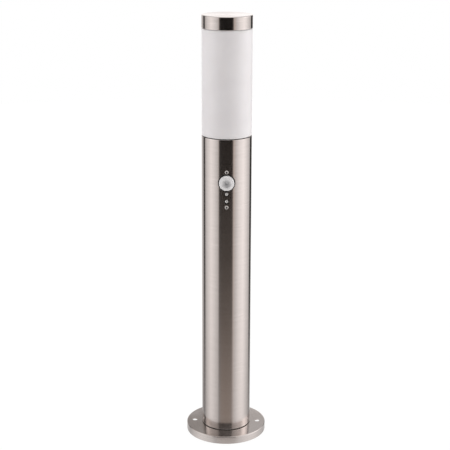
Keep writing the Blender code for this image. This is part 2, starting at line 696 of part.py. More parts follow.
def fresnel_lens():
    rim = tube_radius + LENS_STAND
    foot = lens_foot()
    sphere = (LENS_RADIUS ** 2 + DOME_HEIGHT ** 2) / (2 * DOME_HEIGHT)
    middle = rim + DOME_HEIGHT - sphere
    spread = math.degrees(math.asin(LENS_RADIUS / sphere))
    inner = sphere - LENS_WALL
    skirt = LENS_RADIUS - LENS_WALL
    inner_spread = math.degrees(math.asin(skirt / inner))
    outline = arc((0.0, middle), sphere, 90, 90 - spread, 6)
    outline += [(LENS_RADIUS, foot), (skirt, foot)]
    outline += arc((0.0, middle), inner, 90 - inner_spread, 90, 4)
    outline[0] = (0.0, outline[0][1])
    outline[-1] = (0.0, outline[-1][1])
    face_front(turned("fresnel_lens", outline, lens_plastic, MEDIUM_STEPS, ring=False), lens_height)


def lens_collar():
    top = tube_radius + COLLAR_STAND
    inner = collar_radius - COLLAR_WALL
    collar = ring_of("lens_collar", inner, collar_radius, lens_foot(), top, black_plastic, chamfer=EDGE)
    face_front(collar, lens_height)


def board_parts():
    back = GAP - board_back
    width, depth, height = RELAY_SIZE
    foot = lens_height - RELAY_DROP
    high = (width / 2, back + depth, foot + height)
    box("relay", (-width / 2, back, foot), high, blue_plastic, bevel=MOULDED_EDGE)
    foot = board_back - GAP
    tip = foot - CAPACITOR_LENGTH
    radius = CAPACITOR_RADIUS
    outline = [(0.0, foot), (radius, foot), (radius, tip + EDGE), (radius - EDGE, tip), (0.0, tip)]
    can = turned("capacitor", outline, black_plastic, SMALL_STEPS, ring=False)
    face_front(can, (lux_height + time_height) / 2)


def trimmer(name, height):
    front = board_front + GAP
    width, depth, rise = TRIMMER_SIZE
    tip = front + depth
    low = (-width / 2, -tip, height - rise / 2)
    piece = box(name, low, (width / 2, -front, height + rise / 2), blue_plastic, bevel=EDGE)
    reach = KNOB_SHAFT_DEPTH + GAP
    drill(piece, TRIMMER_BORE, (0, -tip - PAST, height), (0, reach - tip, height))


def knob(name, height, turn):
    """A slotted knob whose own axis is the joint's axis."""
    tip = tube_radius - KNOB_RECESS
    neck = tip - KNOB_LENGTH
    foot = board_front + GAP + TRIMMER_SIZE[1] - KNOB_SHAFT_DEPTH
    outline = [(0.0, tip), (KNOB_RADIUS - KNOB_EDGE, tip), (KNOB_RADIUS, tip - KNOB_EDGE)]
    outline += [(KNOB_RADIUS, neck), (KNOB_SHAFT, neck), (KNOB_SHAFT, foot), (0.0, foot)]
    piece = turned(name, outline, grey_plastic, SMALL_STEPS, ring=False)
    slot(piece, *KNOB_SLOT, tip, turn)
    face_front(piece, height)


def sensor_screws():
    reach = TUBE_WALL + 2 * GAP + BOSS_LENGTH - 0.0008
    outline = [(0.0, SENSOR_HEAD_HEIGHT)]
    outline += [(SENSOR_HEAD_RADIUS * 0.58, SENSOR_HEAD_HEIGHT)]
    outline += [(SENSOR_HEAD_RADIUS * 0.82, SENSOR_HEAD_HEIGHT * 0.8)]
    outline += [(SENSOR_HEAD_RADIUS * 0.96, SENSOR_HEAD_HEIGHT * 0.45), (SENSOR_HEAD_RADIUS, 0.0003)]
    outline += [(SENSOR_HEAD_RADIUS, 0.0), (SENSOR_SCREW_RADIUS, 0.0)]
    outline += [(SENSOR_SCREW_RADIUS, 0.0004 - reach), (SENSOR_SCREW_RADIUS - 0.0004, -reach)]
    outline.append((0.0, -reach))
    across = SOCKET_WIDTH / 2 / math.cos(math.pi / 6)
    for name, height in (("upper", upper_screw_height), ("lower", lower_screw_height)):
        piece = turned(f"sensor_screw_{name}", outline, bright_steel, 20, ring=False)
        low = SENSOR_HEAD_HEIGHT - 0.0013
        socket = rod("socket", across, (0, 0, low), (0, 0, SENSOR_HEAD_HEIGHT + 0.001), steps=6)
        socket.parent = piece
        cut(piece, socket)
        piece.rotation_euler = (math.pi / 2, 0.0, 0.0)
        piece.location = (0.0, -tube_radius - GAP, height)


# Lamp holder.

def holder_plate():
    outer = tube_bore - GAP
    under = holder_floor - HOLDER_SHEET
    top = under + HOLDER_RIM_HEIGHT
    outline = [(outer - HOLDER_SHEET, top), (outer, top), (outer, under)]
    outline += [(0.003, under), (0.003, holder_floor), (outer - HOLDER_SHEET, holder_floor)]
    plate = turned("holder_plate", outline, zinc_steel, MEDIUM_STEPS)
    holes = [(0.0, side * HOLDER_SCREW_OFFSET, HOLDER_SCREW_RADIUS + GAP) for side in (-1, 1)]
    holes += [(side * lamp_wire_offset, lamp_wire_depth, WIRE_HOLE) for side in (-1, 1)]
    for x, y, radius in holes:
        drill(plate, radius, (x, y, under - PAST), (x, y, holder_floor + PAST))
    return plate


def lampholder():
    top = holder_foot + HOLDER_HEIGHT
    inner = sleeve_radius + SLEEVE_WALL + GAP
    edge = 0.001
    outline = [(inner, top), (HOLDER_RADIUS - edge, top), (HOLDER_RADIUS, top - edge)]
    outline += [(HOLDER_RADIUS, holder_foot), (0.0, holder_foot)]
    outline = [(0.0, holder_cavity), (inner, holder_cavity)] + outline
    body = turned("lampholder_body", outline, white_plastic, MEDIUM_STEPS, ring=False)
    for side in (-1, 1):
        x = side * lamp_wire_offset
        y = lamp_wire_depth
        low = holder_foot - PAST
        drill(body, WIRE_HOLE, (x, y, low), (x, y, holder_cavity - 0.001))
        y = side * HOLDER_SCREW_OFFSET
        drill(body, HOLDER_SCREW_RADIUS + GAP, (0, y, low), (0, y, holder_cavity - 0.001))
    low = holder_cavity + GAP
    high = top - 0.0015
    outer = sleeve_radius + SLEEVE_WALL
    ring_of("lampholder_sleeve", sleeve_radius, outer, holder_cavity + GAP + SLEEVE_RISE, high, brass)
    contact = box("lampholder_contact", (-0.008, -0.003, low), (0.008, 0.003, low + CONTACT_SHEET), brass)
    tongue_foot = low + CONTACT_SHEET / 3
    tongue = box("tongue", (-0.003, -0.0025, tongue_foot), (0.003, 0.0025, low + CONTACT_HEIGHT))
    cut(contact, tongue, "UNION")
    for side, name in ((-1, "holder_screw_front"), (1, "holder_screw_back")):
        reach = HOLDER_SHEET + GAP + HOLDER_SCREW_PAST
        piece = screw(name, HOLDER_SCREW_RADIUS, reach, HOLDER_SCREW_HEAD)
        piece.rotation_euler = (math.pi, 0.0, 0.0)
        height = holder_floor - HOLDER_SHEET - GAP
        piece.location = (0.0, side * HOLDER_SCREW_OFFSET, height)


# Lamp: it unscrews about the tube's axis.

def lamp():
    low = holder_cavity + GAP + CONTACT_HEIGHT + GAP
    high = low + TIP_HEIGHT
    outline = [(0.0, high), (TIP_RADIUS, high), (TIP_RADIUS, low + TIP_HEIGHT / 2)]
    outline += [(TIP_RADIUS * 0.65, low), (0.0, low)]
    turned("bulb_tip", outline, zinc_steel, SMALL_STEPS, ring=False)
    low = high + GAP
    high = lamp_cap_foot - GAP
    outline = [(0.0, high), (LAMP_CAP_RADIUS - 0.0016, high), (0.0052, low), (0.0, low)]
    turned("bulb_insulator", outline, black_plastic, SMALL_STEPS, ring=False)
    top = lamp_cap_foot + LAMP_CAP_HEIGHT
    wall = LAMP_SHELL_WALL
    outline = [(LAMP_CAP_RADIUS - wall, top), (LAMP_CAP_RADIUS, top)]
    outline += [(LAMP_CAP_RADIUS, lamp_cap_foot + 0.0012), (LAMP_CAP_RADIUS - 0.0014, lamp_cap_foot)]
    outline += [(0.0, lamp_cap_foot), (0.0, lamp_cap_foot + wall)]
    outline += [(LAMP_CAP_RADIUS - 0.0019, lamp_cap_foot + wall)]
    outline.append((LAMP_CAP_RADIUS - wall, lamp_cap_foot + 0.0014))
    shell = outline[6:] + outline[:5]
    turned("bulb_shell", [outline[5]] + shell, zinc_steel, MEDIUM_STEPS, ring=False)
    bulb_body()
    bulb_globe()


def bulb_body():
    wall = LAMP_BODY_WALL
    foot = lamp_body_foot
    top = foot + LAMP_BODY_HEIGHT
    neck = LAMP_CAP_RADIUS + GAP
    wide = lamp_radius - 0.001
    steps = 6
    flare = []
    for step in range(steps + 1):
        t = step / steps
        flare.append((neck + (wide - neck) * math.sin(t * math.pi / 2) ** LAMP_FLARE, foot + (top - foot) * t))
    outside = list(reversed(flare))
    inside = [(radius - wall, height) for radius, height in flare[1:]]
    outline = [(0.0, foot + wall), (neck - wall, foot + wall)] + inside + outside + [(0.0, foot)]
    turned("bulb_body", outline, white_plastic, LAMP_STEPS, ring=False)
    low = top - 0.0045
    edge = inside[-2][0] - 0.0012
    ring_of("bulb_board", 0.003, edge, low, low + 0.0016, white_plastic, LAMP_STEPS)


def bulb_globe():
    wall = LAMP_DOME_WALL
    foot = lamp_dome_foot
    steps = 7
    outside = []
    inside = []
    for step in range(steps + 1):
        angle = math.pi / 2 * step / steps
        outside.append((lamp_radius * math.sin(angle), foot + LAMP_DOME_HEIGHT * math.cos(angle)))
        height = (LAMP_DOME_HEIGHT - wall) * math.cos(angle)
        inside.append(((lamp_radius - wall) * math.sin(angle), foot + height))
    outside[0] = (0.0, outside[0][1])
    inside[0] = (0.0, inside[0][1])
    outline = outside + list(reversed(inside))
    turned("bulb_globe", outline, opal_plastic, LAMP_STEPS, ring=False)


# Head: it lifts off the tube to reach the lamp.

def diffuser():
    top = cap_foot + SPIGOT_LENGTH
    foot = diffuser_foot - SPIGOT_LENGTH
    edge = 0.0004
    round_edge = 0.001
    roof = 0.002
    groove = lower_spigot - GROOVE_DEPTH
    groove_top = groove_middle + GROOVE_HEIGHT / 2
    groove_foot = groove_middle - GROOVE_HEIGHT / 2
    outline = [(0.0, top), (upper_spigot - round_edge, top), (upper_spigot, top - round_edge)]
    outline += [(upper_spigot, diffuser_shoulder), (diffuser_radius - edge, diffuser_shoulder)]
    outline += [(diffuser_radius, diffuser_shoulder - edge), (diffuser_radius, diffuser_foot + edge)]
    outline += [(diffuser_radius - edge, diffuser_foot), (lower_spigot, diffuser_foot)]
    outline += [(lower_spigot, groove_top), (groove, groove_top), (groove, groove_foot)]
    outline += [(lower_spigot, groove_foot), (lower_spigot, foot), (diffuser_bore, foot)]
    ceiling = top - roof
    outline += [(diffuser_bore, ceiling - round_edge), (diffuser_bore - round_edge, ceiling), (0.0, ceiling)]
    turned("diffuser", outline, opal_plastic, LARGE_STEPS, ring=False)


def head_rings():
    low = tube_rim + GAP
    inner = lower_spigot + GAP
    outer = diffuser_radius - GAP
    ring_of("head_seal", inner, outer, low, low + SEAL_THICKNESS, black_rubber, RING_STEPS)
    low = groove_middle - GROOVE_HEIGHT / 2 + GAP
    high = groove_middle + GROOVE_HEIGHT / 2 - GAP
    inner = lower_spigot - GROOVE_DEPTH + GAP
    ring_of("neck_ring", inner, tube_bore - GAP, low, high, black_rubber, RING_STEPS, chamfer=EDGE)
    low = diffuser_shoulder + GAP
    inner = upper_spigot + GAP
    ring_of("cap_seal", inner, outer, low, low + SEAL_THICKNESS, white_rubber, RING_STEPS)


def top_cap():
    inner_edge = 0.0006
    ceiling = TOTAL_HEIGHT - CAP_WALL
    outline = [(0.0, TOTAL_HEIGHT)]
    outline += arc((tube_radius - CAP_EDGE, TOTAL_HEIGHT - CAP_EDGE), CAP_EDGE, 90, 0)
    outline += [(tube_radius, cap_foot), (cap_bore, cap_foot), (cap_bore, ceiling - inner_edge)]
    outline += [(cap_bore - inner_edge, ceiling), (0.0, ceiling)]
    turned("top_cap", outline, brushed_steel, LARGE_STEPS, ring=False)


# Wires.

def wires():
    block_top = block_foot + BLOCK_SIZE[2]
    over_plate = plate_foot + PLATE_HEIGHT + 0.010
    board = GAP - board_back
    exit_back = -housing_back
    for side, name, material in ((-1, "live_wire", brown_plastic), (0, "neutral_wire", blue_plastic)):
        x = side * POLE_PITCH
        lane = WIRE_OFFSET * (1 if side == 0 else -1)
        knots = [(lane, board, lower_exit), (lane, exit_back - 0.004, lower_exit)]
        knots += [(lane, exit_back + 0.004, lower_exit), (lane, exit_back + 0.008, lower_exit)]
        knots += [(lane, wire_column - 0.008, lower_exit - 0.022)]
        knots += [(lane, wire_column, lower_exit - 0.050), (lane, wire_column, over_plate + 0.045)]
        knots += [(lane, wire_column - 0.007, over_plate + 0.012), (x, PLATE_FRONT, over_plate)]
        knots += [(x, pole_depth, over_plate - 0.012), (x, pole_depth, block_top)]
        knots += [(x, pole_depth, block_top - WIRE_BED)]
        wire(name, knots, material, 0.009)
    x = POLE_PITCH
    lug_top = earth_height + LUG_TAB_REACH
    knots = [(x, pole_depth, block_top - WIRE_BED), (x, pole_depth, block_top + 0.006)]
    knots += [(x, pole_depth - 0.001, lug_top), (EARTH_OFFSET, pole_depth + 0.003, lug_top + 0.0065)]
    knots += [(EARTH_OFFSET, PLATE_FRONT - 0.0015, lug_top + 0.0045)]
    knots += [(EARTH_OFFSET, PLATE_FRONT - GAP - LUG_SHEET / 2, lug_top + GAP)]
    wire("earth_wire", knots, yellow_green, 0.003)
    under = holder_floor - HOLDER_SHEET
    lamp_wires = ((-1, "lamp_live_wire", black_plastic), (1, "lamp_neutral_wire", blue_plastic))
    for side, name, material in lamp_wires:
        x = side * WIRE_OFFSET
        up = side * lamp_wire_offset
        y = lamp_wire_depth
        knots = [(x, board, upper_exit), (x, exit_back - 0.004, upper_exit)]
        knots += [(x, exit_back + 0.0028, upper_exit), (up, y - 0.001, upper_exit + 0.003)]
        knots += [(up, y, under - 0.006), (up, y, under - 0.002), (up, y, holder_cavity - 0.0015)]
        wire(name, knots, material, 0.003)


base_plate()
cable_grommet()
foot_seal()
foot_bracket()
foot_screws()
body_tube()
terminal_bracket()
bracket_screw()
terminal_block()
cord_clamp()
earth_terminal()
sensor_housing()
sensor_cover()
sensor_board()
pir_detector()
fresnel_lens()
lens_collar()
board_parts()
trimmer("lux_trimmer", lux_height)
trimmer("time_trimmer", time_height)
knob("lux_knob", lux_height, LUX_SETTING)
knob("time_knob", time_height, TIME_SETTING)
sensor_screws()
holder_plate()
lampholder()
lamp()
diffuser()
head_rings()
top_cap()
wires()
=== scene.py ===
import math

import bmesh
import bpy
from mathutils import Matrix, Vector


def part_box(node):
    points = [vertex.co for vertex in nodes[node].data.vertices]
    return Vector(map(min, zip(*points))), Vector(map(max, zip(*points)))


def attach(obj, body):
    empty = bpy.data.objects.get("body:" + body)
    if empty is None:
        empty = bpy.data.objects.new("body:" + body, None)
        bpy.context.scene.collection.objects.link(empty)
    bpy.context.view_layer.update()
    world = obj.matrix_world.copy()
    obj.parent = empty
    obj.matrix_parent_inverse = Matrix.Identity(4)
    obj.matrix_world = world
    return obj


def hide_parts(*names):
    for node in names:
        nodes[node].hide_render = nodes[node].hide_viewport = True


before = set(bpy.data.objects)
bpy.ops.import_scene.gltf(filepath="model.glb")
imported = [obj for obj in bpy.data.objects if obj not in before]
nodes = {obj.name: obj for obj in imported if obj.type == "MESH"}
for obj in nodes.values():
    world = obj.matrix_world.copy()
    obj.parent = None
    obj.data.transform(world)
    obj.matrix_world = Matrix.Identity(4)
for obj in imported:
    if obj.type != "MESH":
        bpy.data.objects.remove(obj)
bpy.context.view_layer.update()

print("frame loaded:", len(nodes), "nodes")


# A Tap is one output socket, and a sum written with it adds its own nodes.
class Tap:
    def __init__(self, tree, socket=None):
        self.tree = tree
        self.socket = socket

    def add(self, kind, settings=None, inputs=None, out=0):
        node = self.tree.nodes.new(kind)
        for key, value in (settings or {}).items():
            if key == "stops":
                self.setStops(node.color_ramp, value)
            elif key == "interpolation":
                node.color_ramp.interpolation = value
            else:
                setattr(node, key, value)
        for key, value in (inputs or {}).items():
            self.feed(node.inputs[key], value)
        return Tap(self.tree, node.outputs[out])

    def setStops(self, ramp, stops):  # stops are (position, grey or colour)
        while len(ramp.elements) < len(stops):
            ramp.elements.new(0.5)
        for element, (position, shade) in zip(ramp.elements, stops):
            element.position = position
            element.color = (*shade, 1) if isinstance(shade, tuple) else (shade, shade, shade, 1)

    def finish(self, kind, shader):
        self.tree.links.new(shader.socket, self.tree.nodes.new(kind).inputs["Surface"])

    def feed(self, socket, value):
        if isinstance(value, Tap):
            self.tree.links.new(value.socket, socket)
        elif isinstance(value, tuple) and socket.type == "RGBA":
            socket.default_value = (*value, 1)
        else:
            socket.default_value = value

    def isVector(self):
        return self.socket.type != "VALUE"

    def sum(self, operation, first, second=None):
        taps = [part for part in (first, second) if isinstance(part, Tap)]
        if any(tap.isVector() for tap in taps):
            whole = [part if isinstance(part, (Tap, tuple)) else (part,) * 3 for part in (first, second)]
            first, second = whole
            return self.add("ShaderNodeVectorMath", {"operation": operation}, {0: first, 1: second})
        values = {0: first} if second is None else {0: first, 1: second}
        return self.add("ShaderNodeMath", {"operation": operation}, values)

    def __add__(self, other):
        return self.sum("ADD", self, other)

    def __radd__(self, other):
        return self.sum("ADD", other, self)

    def __sub__(self, other):
        return self.sum("SUBTRACT", self, other)

    def __rsub__(self, other):
        return self.sum("SUBTRACT", other, self)

    def __mul__(self, other):
        return self.sum("MULTIPLY", self, other)

    def __rmul__(self, other):
        return self.sum("MULTIPLY", other, self)

    def __truediv__(self, other):
        return self.sum("DIVIDE", self, other)

    def __pow__(self, other):
        return self.sum("POWER", self, other)

    def split(self):
        first = self.add("ShaderNodeSeparateXYZ", None, {0: self})
        return [Tap(self.tree, output) for output in first.socket.node.outputs]

    def join(self, x, y, z):
        return self.add("ShaderNodeCombineXYZ", None, {0: x, 1: y, 2: z})

    def ease(self, low, high, bottom=0.0, top=1.0):  # 0 below low, 1 above high
        inputs = {"Value": self, "From Min": low, "From Max": high, "To Min": bottom, "To Max": top}
        return self.add("ShaderNodeMapRange", {"interpolation_type": "SMOOTHSTEP"}, inputs)

    def fall(self, low, high):  # 1 below low, 0 above high
        return self.ease(low, high, 1.0, 0.0)

    def ramp(self, stops, interpolation="EASE"):
        return self.add("ShaderNodeValToRGB", {"interpolation": interpolation, "stops": stops}, {"Fac": self})

    def mix(self, first, second):  # this mask turns first into second
        return self.add("ShaderNodeMix", {"data_type": "RGBA"}, {"Factor": self, 6: first, 7: second}, 2)

    def noise(self, scale, detail=2.0, roughness=0.5):
        inputs = {"Vector": self, "Scale": scale, "Detail": detail, "Roughness": roughness}
        return self.add("ShaderNodeTexNoise", None, inputs, "Fac")

    def bump(self, strength, distance):
        return self.add("ShaderNodeBump", None, {"Height": self, "Strength": strength, "Distance": distance})


def newObject(name, data):
    thing = bpy.data.objects.new(name, data)
    bpy.context.scene.collection.objects.link(thing)
    return thing


def meshOf(name, shape):  # ends the shape's editing
    mesh = bpy.data.meshes.new(name)
    shape.to_mesh(mesh)
    shape.free()
    return mesh


cameraLook = {
    "distance": 1.7587,          # in front of the tube's axis
    "height": 0.8505,
    "tilt": 16.19,               # degrees below level
    "roll": 0.17,                # degrees
    "lens": 95.08,
    "side shift": -0.0034,
}


def makeCamera():
    data = bpy.data.cameras.new("camera")
    data.lens = cameraLook["lens"]
    data.shift_x = cameraLook["side shift"]
    data.dof.use_dof = False
    camera = newObject("camera", data)
    camera.location = (0, -cameraLook["distance"], cameraLook["height"])
    level = Matrix.Rotation(math.radians(90 - cameraLook["tilt"]), 4, "X")
    camera.rotation_euler = (level @ Matrix.Rotation(math.radians(cameraLook["roll"]), 4, "Z")).to_euler()
    bpy.context.scene.camera = camera


# Brightness round the studio by direction, in degrees from the front, negative to the left.
studioLook = {
    "level": ((-180, 1.02), (-152, 0.62), (-135, 0.46), (-130, 0.03), (-121, 0.03), (-114, 0.58),
              (-98, 0.84), (-76, 1.08), (-59, 0.92), (-44, 0.68), (-38.5, 0.60), (-34, 0.03),
              (-26, 0.004), (0, 0.0), (23, 0.003), (27, 0.03), (31.5, 0.56), (41, 0.66),
              (60, 1.02), (83, 1.22), (97, 1.06), (116, 0.76), (129, 0.62), (134, 0.03),
              (157, 0.03), (165, 0.90), (180, 1.02)),
    "low": ((-180, 0.60), (-147, 0.34), (-134, 0.28), (-112, 0.50), (-84, 0.82), (-72, 0.80),
            (-49, 0.62), (-41, 0.55), (-34, 0.41), (0, 0.385), (24, 0.41), (32, 0.50),
            (41, 0.63), (54, 0.80), (75, 0.93), (90, 0.86), (110, 0.66), (130, 0.46),
            (145, 0.36), (160, 0.55), (180, 0.60)),
    "turn to low": ((-27.0, 1.0), (-25.0, 0.95), (-23.0, 0.54), (-20.5, 0.17), (-17.0, 0.02),
                    (-14.5, 0.0)),
    "brightest": 1.3,
    "overhead": (40, 62, 1.00),      # degrees above level where a light fades in, and its light
    "underfoot": (-30, -40, 0.85),
    "back": (10, 20, 0.45),          # the bright wall at the back ends, and the dim ceiling starts
    "back turn": (0.55, 0.80),       # cosines from the back between which the back fades in
    "panel lift": (2, 12, 1.30),     # the side panels are brighter above level
    "ahead": (8, 18, 0.34, 0.13),    # in front they are dimmer again, and the dark gap gets some light
    "ahead turn": (-0.20, 0.25),     # cosines from the front
    "warm front": (1.0, 0.84, 0.74),
    "warm turn": (0.70, 0.86),
    "warm height": (-34, 38),
    "soft gain": 1.46,               # the room's many walls light matt surfaces more than gloss shows
    "light colour": (1.0, 0.975, 0.965),
}


def makeStudio():
    look = studioLook
    world = bpy.data.worlds.new("studio")
    world.use_nodes = True
    world.cycles.sampling_method = "NONE"
    world.node_tree.nodes.clear()
    start = Tap(world.node_tree)
    x, y, z = start.add("ShaderNodeTexCoord", None, None, "Generated").split()
    azimuth = start.sum("ARCTAN2", x, 0 - y) / math.tau + 0.5
    height = start.sum("ARCSINE", z) * math.degrees(1)

    def around(table):  # a ramp holds at most 1, so it is scaled
        stops = [(angle / 360 + 0.5, light / look["brightest"]) for angle, light in table]
        return azimuth.ramp(stops, "LINEAR").split()[0] * look["brightest"]

    level = around(look["level"])
    low = around(look["low"])
    turn = [(angle / 90 + 1, share) for angle, share in look["turn to low"]]
    lowShare = ((height + 90) / 90).ramp(turn, "LINEAR").split()[0]
    light = level + (low - level) * lowShare
    first, last, lift = look["panel lift"]
    light = light * height.ease(first, last, 1.0, lift)
    first, last, dim = look["back"]
    behind = y.ease(*look["back turn"]) * height.ease(first, last)
    light = light + (dim - light) * behind
    first, last, keep, fill = look["ahead"]
    ahead = (0 - y).ease(*look["ahead turn"]) * height.ease(first, last)
    light = light + (light * keep + fill - light) * ahead
    for first, last, glow in (look["overhead"], look["underfoot"]):
        share = height.ease(first, last) if last > first else height.fall(last, first)
        light = light + (glow - light) * share
    front = (0 - y).ease(*look["warm turn"]) * height.fall(*look["warm height"])
    colour = front.mix(look["light colour"], look["warm front"]) * light
    seen = start.add("ShaderNodeLightPath", None, None, "Is Camera Ray")
    matt = start.add("ShaderNodeLightPath", None, None, "Is Diffuse Ray")
    strength = matt * (look["soft gain"] - 1) + 1
    inputs = {"Color": seen.mix(colour, (1, 1, 1)), "Strength": strength}
    glow = start.add("ShaderNodeBackground", None, inputs)
    start.finish("ShaderNodeOutputWorld", glow)
    bpy.context.scene.world = world
    bpy.context.scene.view_settings.view_transform = "Standard"


floorLook = {
    "size": 6.0,
    "below": 0.0002,             # under the base's lower edge
    "glow": 0.92,
    "paper": 0.10,
    "card": 0.086,
    "card below": 0.0004,
    "card light": 0.80,
    "card cover": 0.45,          # how much of the card shows past the base
    "card fade": (0.060, 0.0615),
}


def flatDisc(name, radius, height):
    shape = bmesh.new()
    bmesh.ops.create_circle(shape, cap_ends=True, segments=96, radius=radius)
    disc = newObject(name, meshOf(name, shape))
    disc.location.z = height
    return disc


def stageMaterial(name):
    material = bpy.data.materials.new(name)
    material.use_nodes = True
    material.node_tree.nodes.clear()
    return material, Tap(material.node_tree)


def makeFloor():
    floor = flatDisc("floor", floorLook["size"] / 2, -floorLook["below"])
    floor.visible_glossy = False
    floor.visible_diffuse = False
    material, start = stageMaterial("floorPaper")
    paper = start.add("ShaderNodeBsdfDiffuse", None, {"Color": (floorLook["paper"],) * 3})
    glow = start.add("ShaderNodeEmission", None, {"Strength": floorLook["glow"]})
    start.finish("ShaderNodeOutputMaterial", start.add("ShaderNodeAddShader", None, {0: paper, 1: glow}))
    floor.data.materials.append(material)


def makeCard():  # white card under the foot, seen only in gloss
    card = flatDisc("card", floorLook["card"], -floorLook["card below"])
    card.visible_camera = False
    card.visible_diffuse = False
    card.visible_shadow = False
    material, start = stageMaterial("cardPaper")
    x, y, z = place(start).split()
    under = ((x * x + y * y) ** 0.5).ease(*floorLook["card fade"], 1.0, floorLook["card cover"])
    clear = start.add("ShaderNodeBsdfTransparent")
    glow = start.add("ShaderNodeEmission", None, {"Strength": floorLook["card light"]})
    both = start.add("ShaderNodeMixShader", None, {0: under, 1: clear, 2: glow})
    start.finish("ShaderNodeOutputMaterial", both)
    card.data.materials.append(material)


def beginFinish(name):
    material = bpy.data.materials.new(name)
    material.use_nodes = True
    shader = material.node_tree.nodes["Principled BSDF"]
    return material, Tap(material.node_tree), shader


def paint(start, shader, colour, rough, normal, metallic=0.0, **others):
    inputs = {"Base Color": colour, "Roughness": rough, "Normal": normal, "Metallic": metallic}
    inputs.update({key.replace("_", " "): value for key, value in others.items()})
    for key, value in inputs.items():
        start.feed(shader.inputs[key], value)


def place(start):  # metres in the object's own frame
    return start.add("ShaderNodeTexCoord", None, None, "Object")


def about(start, centre, axis):  # along the axis, across it, and round it
    x, y, z = (place(start) - centre).split()
    if axis == "Y":
        y, z = z, y
    return x, y, z, (x * x + y * y) ** 0.5


brushLook = {
    "colour": (0.83, 0.765, 0.74),
    "dark line": (0.64, 0.59, 0.565),
    "worn": (0.86, 0.81, 0.79),  # the brighter metal along an edge
    "roughness": 0.155,
    "anisotropic": 0.80,
    "rotation": 0.25,
    "pitch": 5200.0,             # brush lines per metre, across them
    "reach": 34.0,               # their breaks per metre, along them
    "broad pitch": 900.0,
    "broad reach": 3.0,
    "haze": 14.0,
    "depth": 0.0000035,
    "wear reach": (0.0007, 0.0022),          # from an edge
    "top shade blend": (-0.010, 0.035),            # from the painted shade on the left of a plate's top to the painted highlight on its right
    "top edge": (0.0013, 0.0003),            # below the top, where the edge's rounding starts
}


def brushedSteel(name, edges=(), **changes):
    look = {**brushLook, **changes}
    material, start, shader = beginFinish(name)
    x, y, z, radius = about(start, (0, 0, 0), "Z")
    across = z + radius
    fine = start.join(x * look["reach"], y * look["reach"], across * look["pitch"]).noise(1.0, 3.0, 0.62)
    wide = look["broad reach"]
    broad = start.join(x * wide, y * wide, across * look["broad pitch"]).noise(1.0, 3.0)
    haze = place(start).noise(look["haze"], 3.0)
    wear = None
    for height in edges:
        near = start.sum("ABSOLUTE", z - height).fall(*look["wear reach"])
        wear = near if wear is None else start.sum("MAXIMUM", wear, near)
    shade = fine.ease(0.25, 0.75).mix(look["dark line"], look["colour"])
    shade = (broad.ease(0.3, 0.7) * 0.45).mix(shade, look["dark line"])
    if "top" in look:  # painted shade and highlight: a pressed plate's top is painted darker on its left and lighter on its right than its edge
        height, left, right = look["top"]
        paintedTopLight = x.ease(*look["top shade blend"]).mix(left, right)
        below, above = look["top edge"]
        shade = z.ease(height - below, height - above).mix(shade, shade * paintedTopLight)
    rough = fine * 0.04 + haze * 0.03 + (look["roughness"] - 0.035)
    if wear is not None:
        worn = wear * haze.ease(0.35, 0.65)
        shade = (worn * 0.5).mix(shade, look["worn"])
        rough = rough - worn * 0.05
    normal = (fine + broad * 0.5).bump(0.35, look["depth"])
    paint(start, shader, shade, rough, normal, 1.0,
          Anisotropic=look["anisotropic"], Anisotropic_Rotation=look["rotation"])
    return material


metalLook = {
    "zinc": {"colour": (0.60, 0.62, 0.65), "tint": (0.66, 0.64, 0.56), "roughness": 0.36, "grain": 700.0},
    "bright": {"colour": (0.95, 0.93, 0.91), "tint": (0.86, 0.83, 0.81), "roughness": 0.24, "grain": 900.0},
    "brass": {"colour": (0.80, 0.60, 0.29), "tint": (0.62, 0.42, 0.18), "roughness": 0.26, "grain": 800.0},
    "nickel": {"colour": (0.74, 0.71, 0.66), "tint": (0.60, 0.57, 0.52), "roughness": 0.22, "grain": 900.0},
}


def turnedMetal(name, look, centre=(0, 0, 0), axis="Z", socket=None, top=None):
    material, start, shader = beginFinish(name)
    x, y, z, radius = about(start, centre, axis)
    lines = start.join(x * 60, y * 60, (z + radius) * 5200).noise(1.0, 2.0)
    grain = place(start).noise(look["grain"], 3.0)
    patches = place(start).noise(160.0, 3.0, 0.6)
    shade = patches.ease(0.35, 0.70).mix(look["colour"], look["tint"])
    shade = (lines.ease(0.3, 0.7) * 0.25).mix(shade, look["tint"])
    if socket:  # painted shade darkens the socket's depth
        inside = radius.fall(socket, socket * 1.12)
        shadedRecess = inside * (0 - z).fall(top - 0.0004, top - 0.0001)
        shade = shadedRecess.mix(shade, socketLook["socket painted shade"])
    rough = look["roughness"] + grain * 0.10 + patches * 0.08 - 0.09
    normal = (lines * 0.6 + grain * 0.5).bump(0.30, 0.00002)
    paint(start, shader, shade, rough, normal, 1.0)
    return material


plasticLook = {
    "black": {"colour": (0.020, 0.020, 0.021), "light": (0.045, 0.045, 0.047),
              "roughness": 0.42, "grain": 2600.0, "depth": 0.00003},
    "white": {"colour": (0.74, 0.74, 0.71), "light": (0.82, 0.82, 0.80),
              "roughness": 0.40, "grain": 1500.0, "depth": 0.00002},
    "blue": {"colour": (0.035, 0.13, 0.48), "light": (0.06, 0.22, 0.62),
             "roughness": 0.34, "grain": 1800.0, "depth": 0.00002},
    "brown": {"colour": (0.17, 0.070, 0.030), "light": (0.27, 0.12, 0.055),
              "roughness": 0.36, "grain": 1800.0, "depth": 0.00002},
    "sleeve": {"colour": (0.015, 0.015, 0.016), "light": (0.05, 0.05, 0.052),
               "roughness": 0.36, "grain": 1800.0, "depth": 0.00002},
}


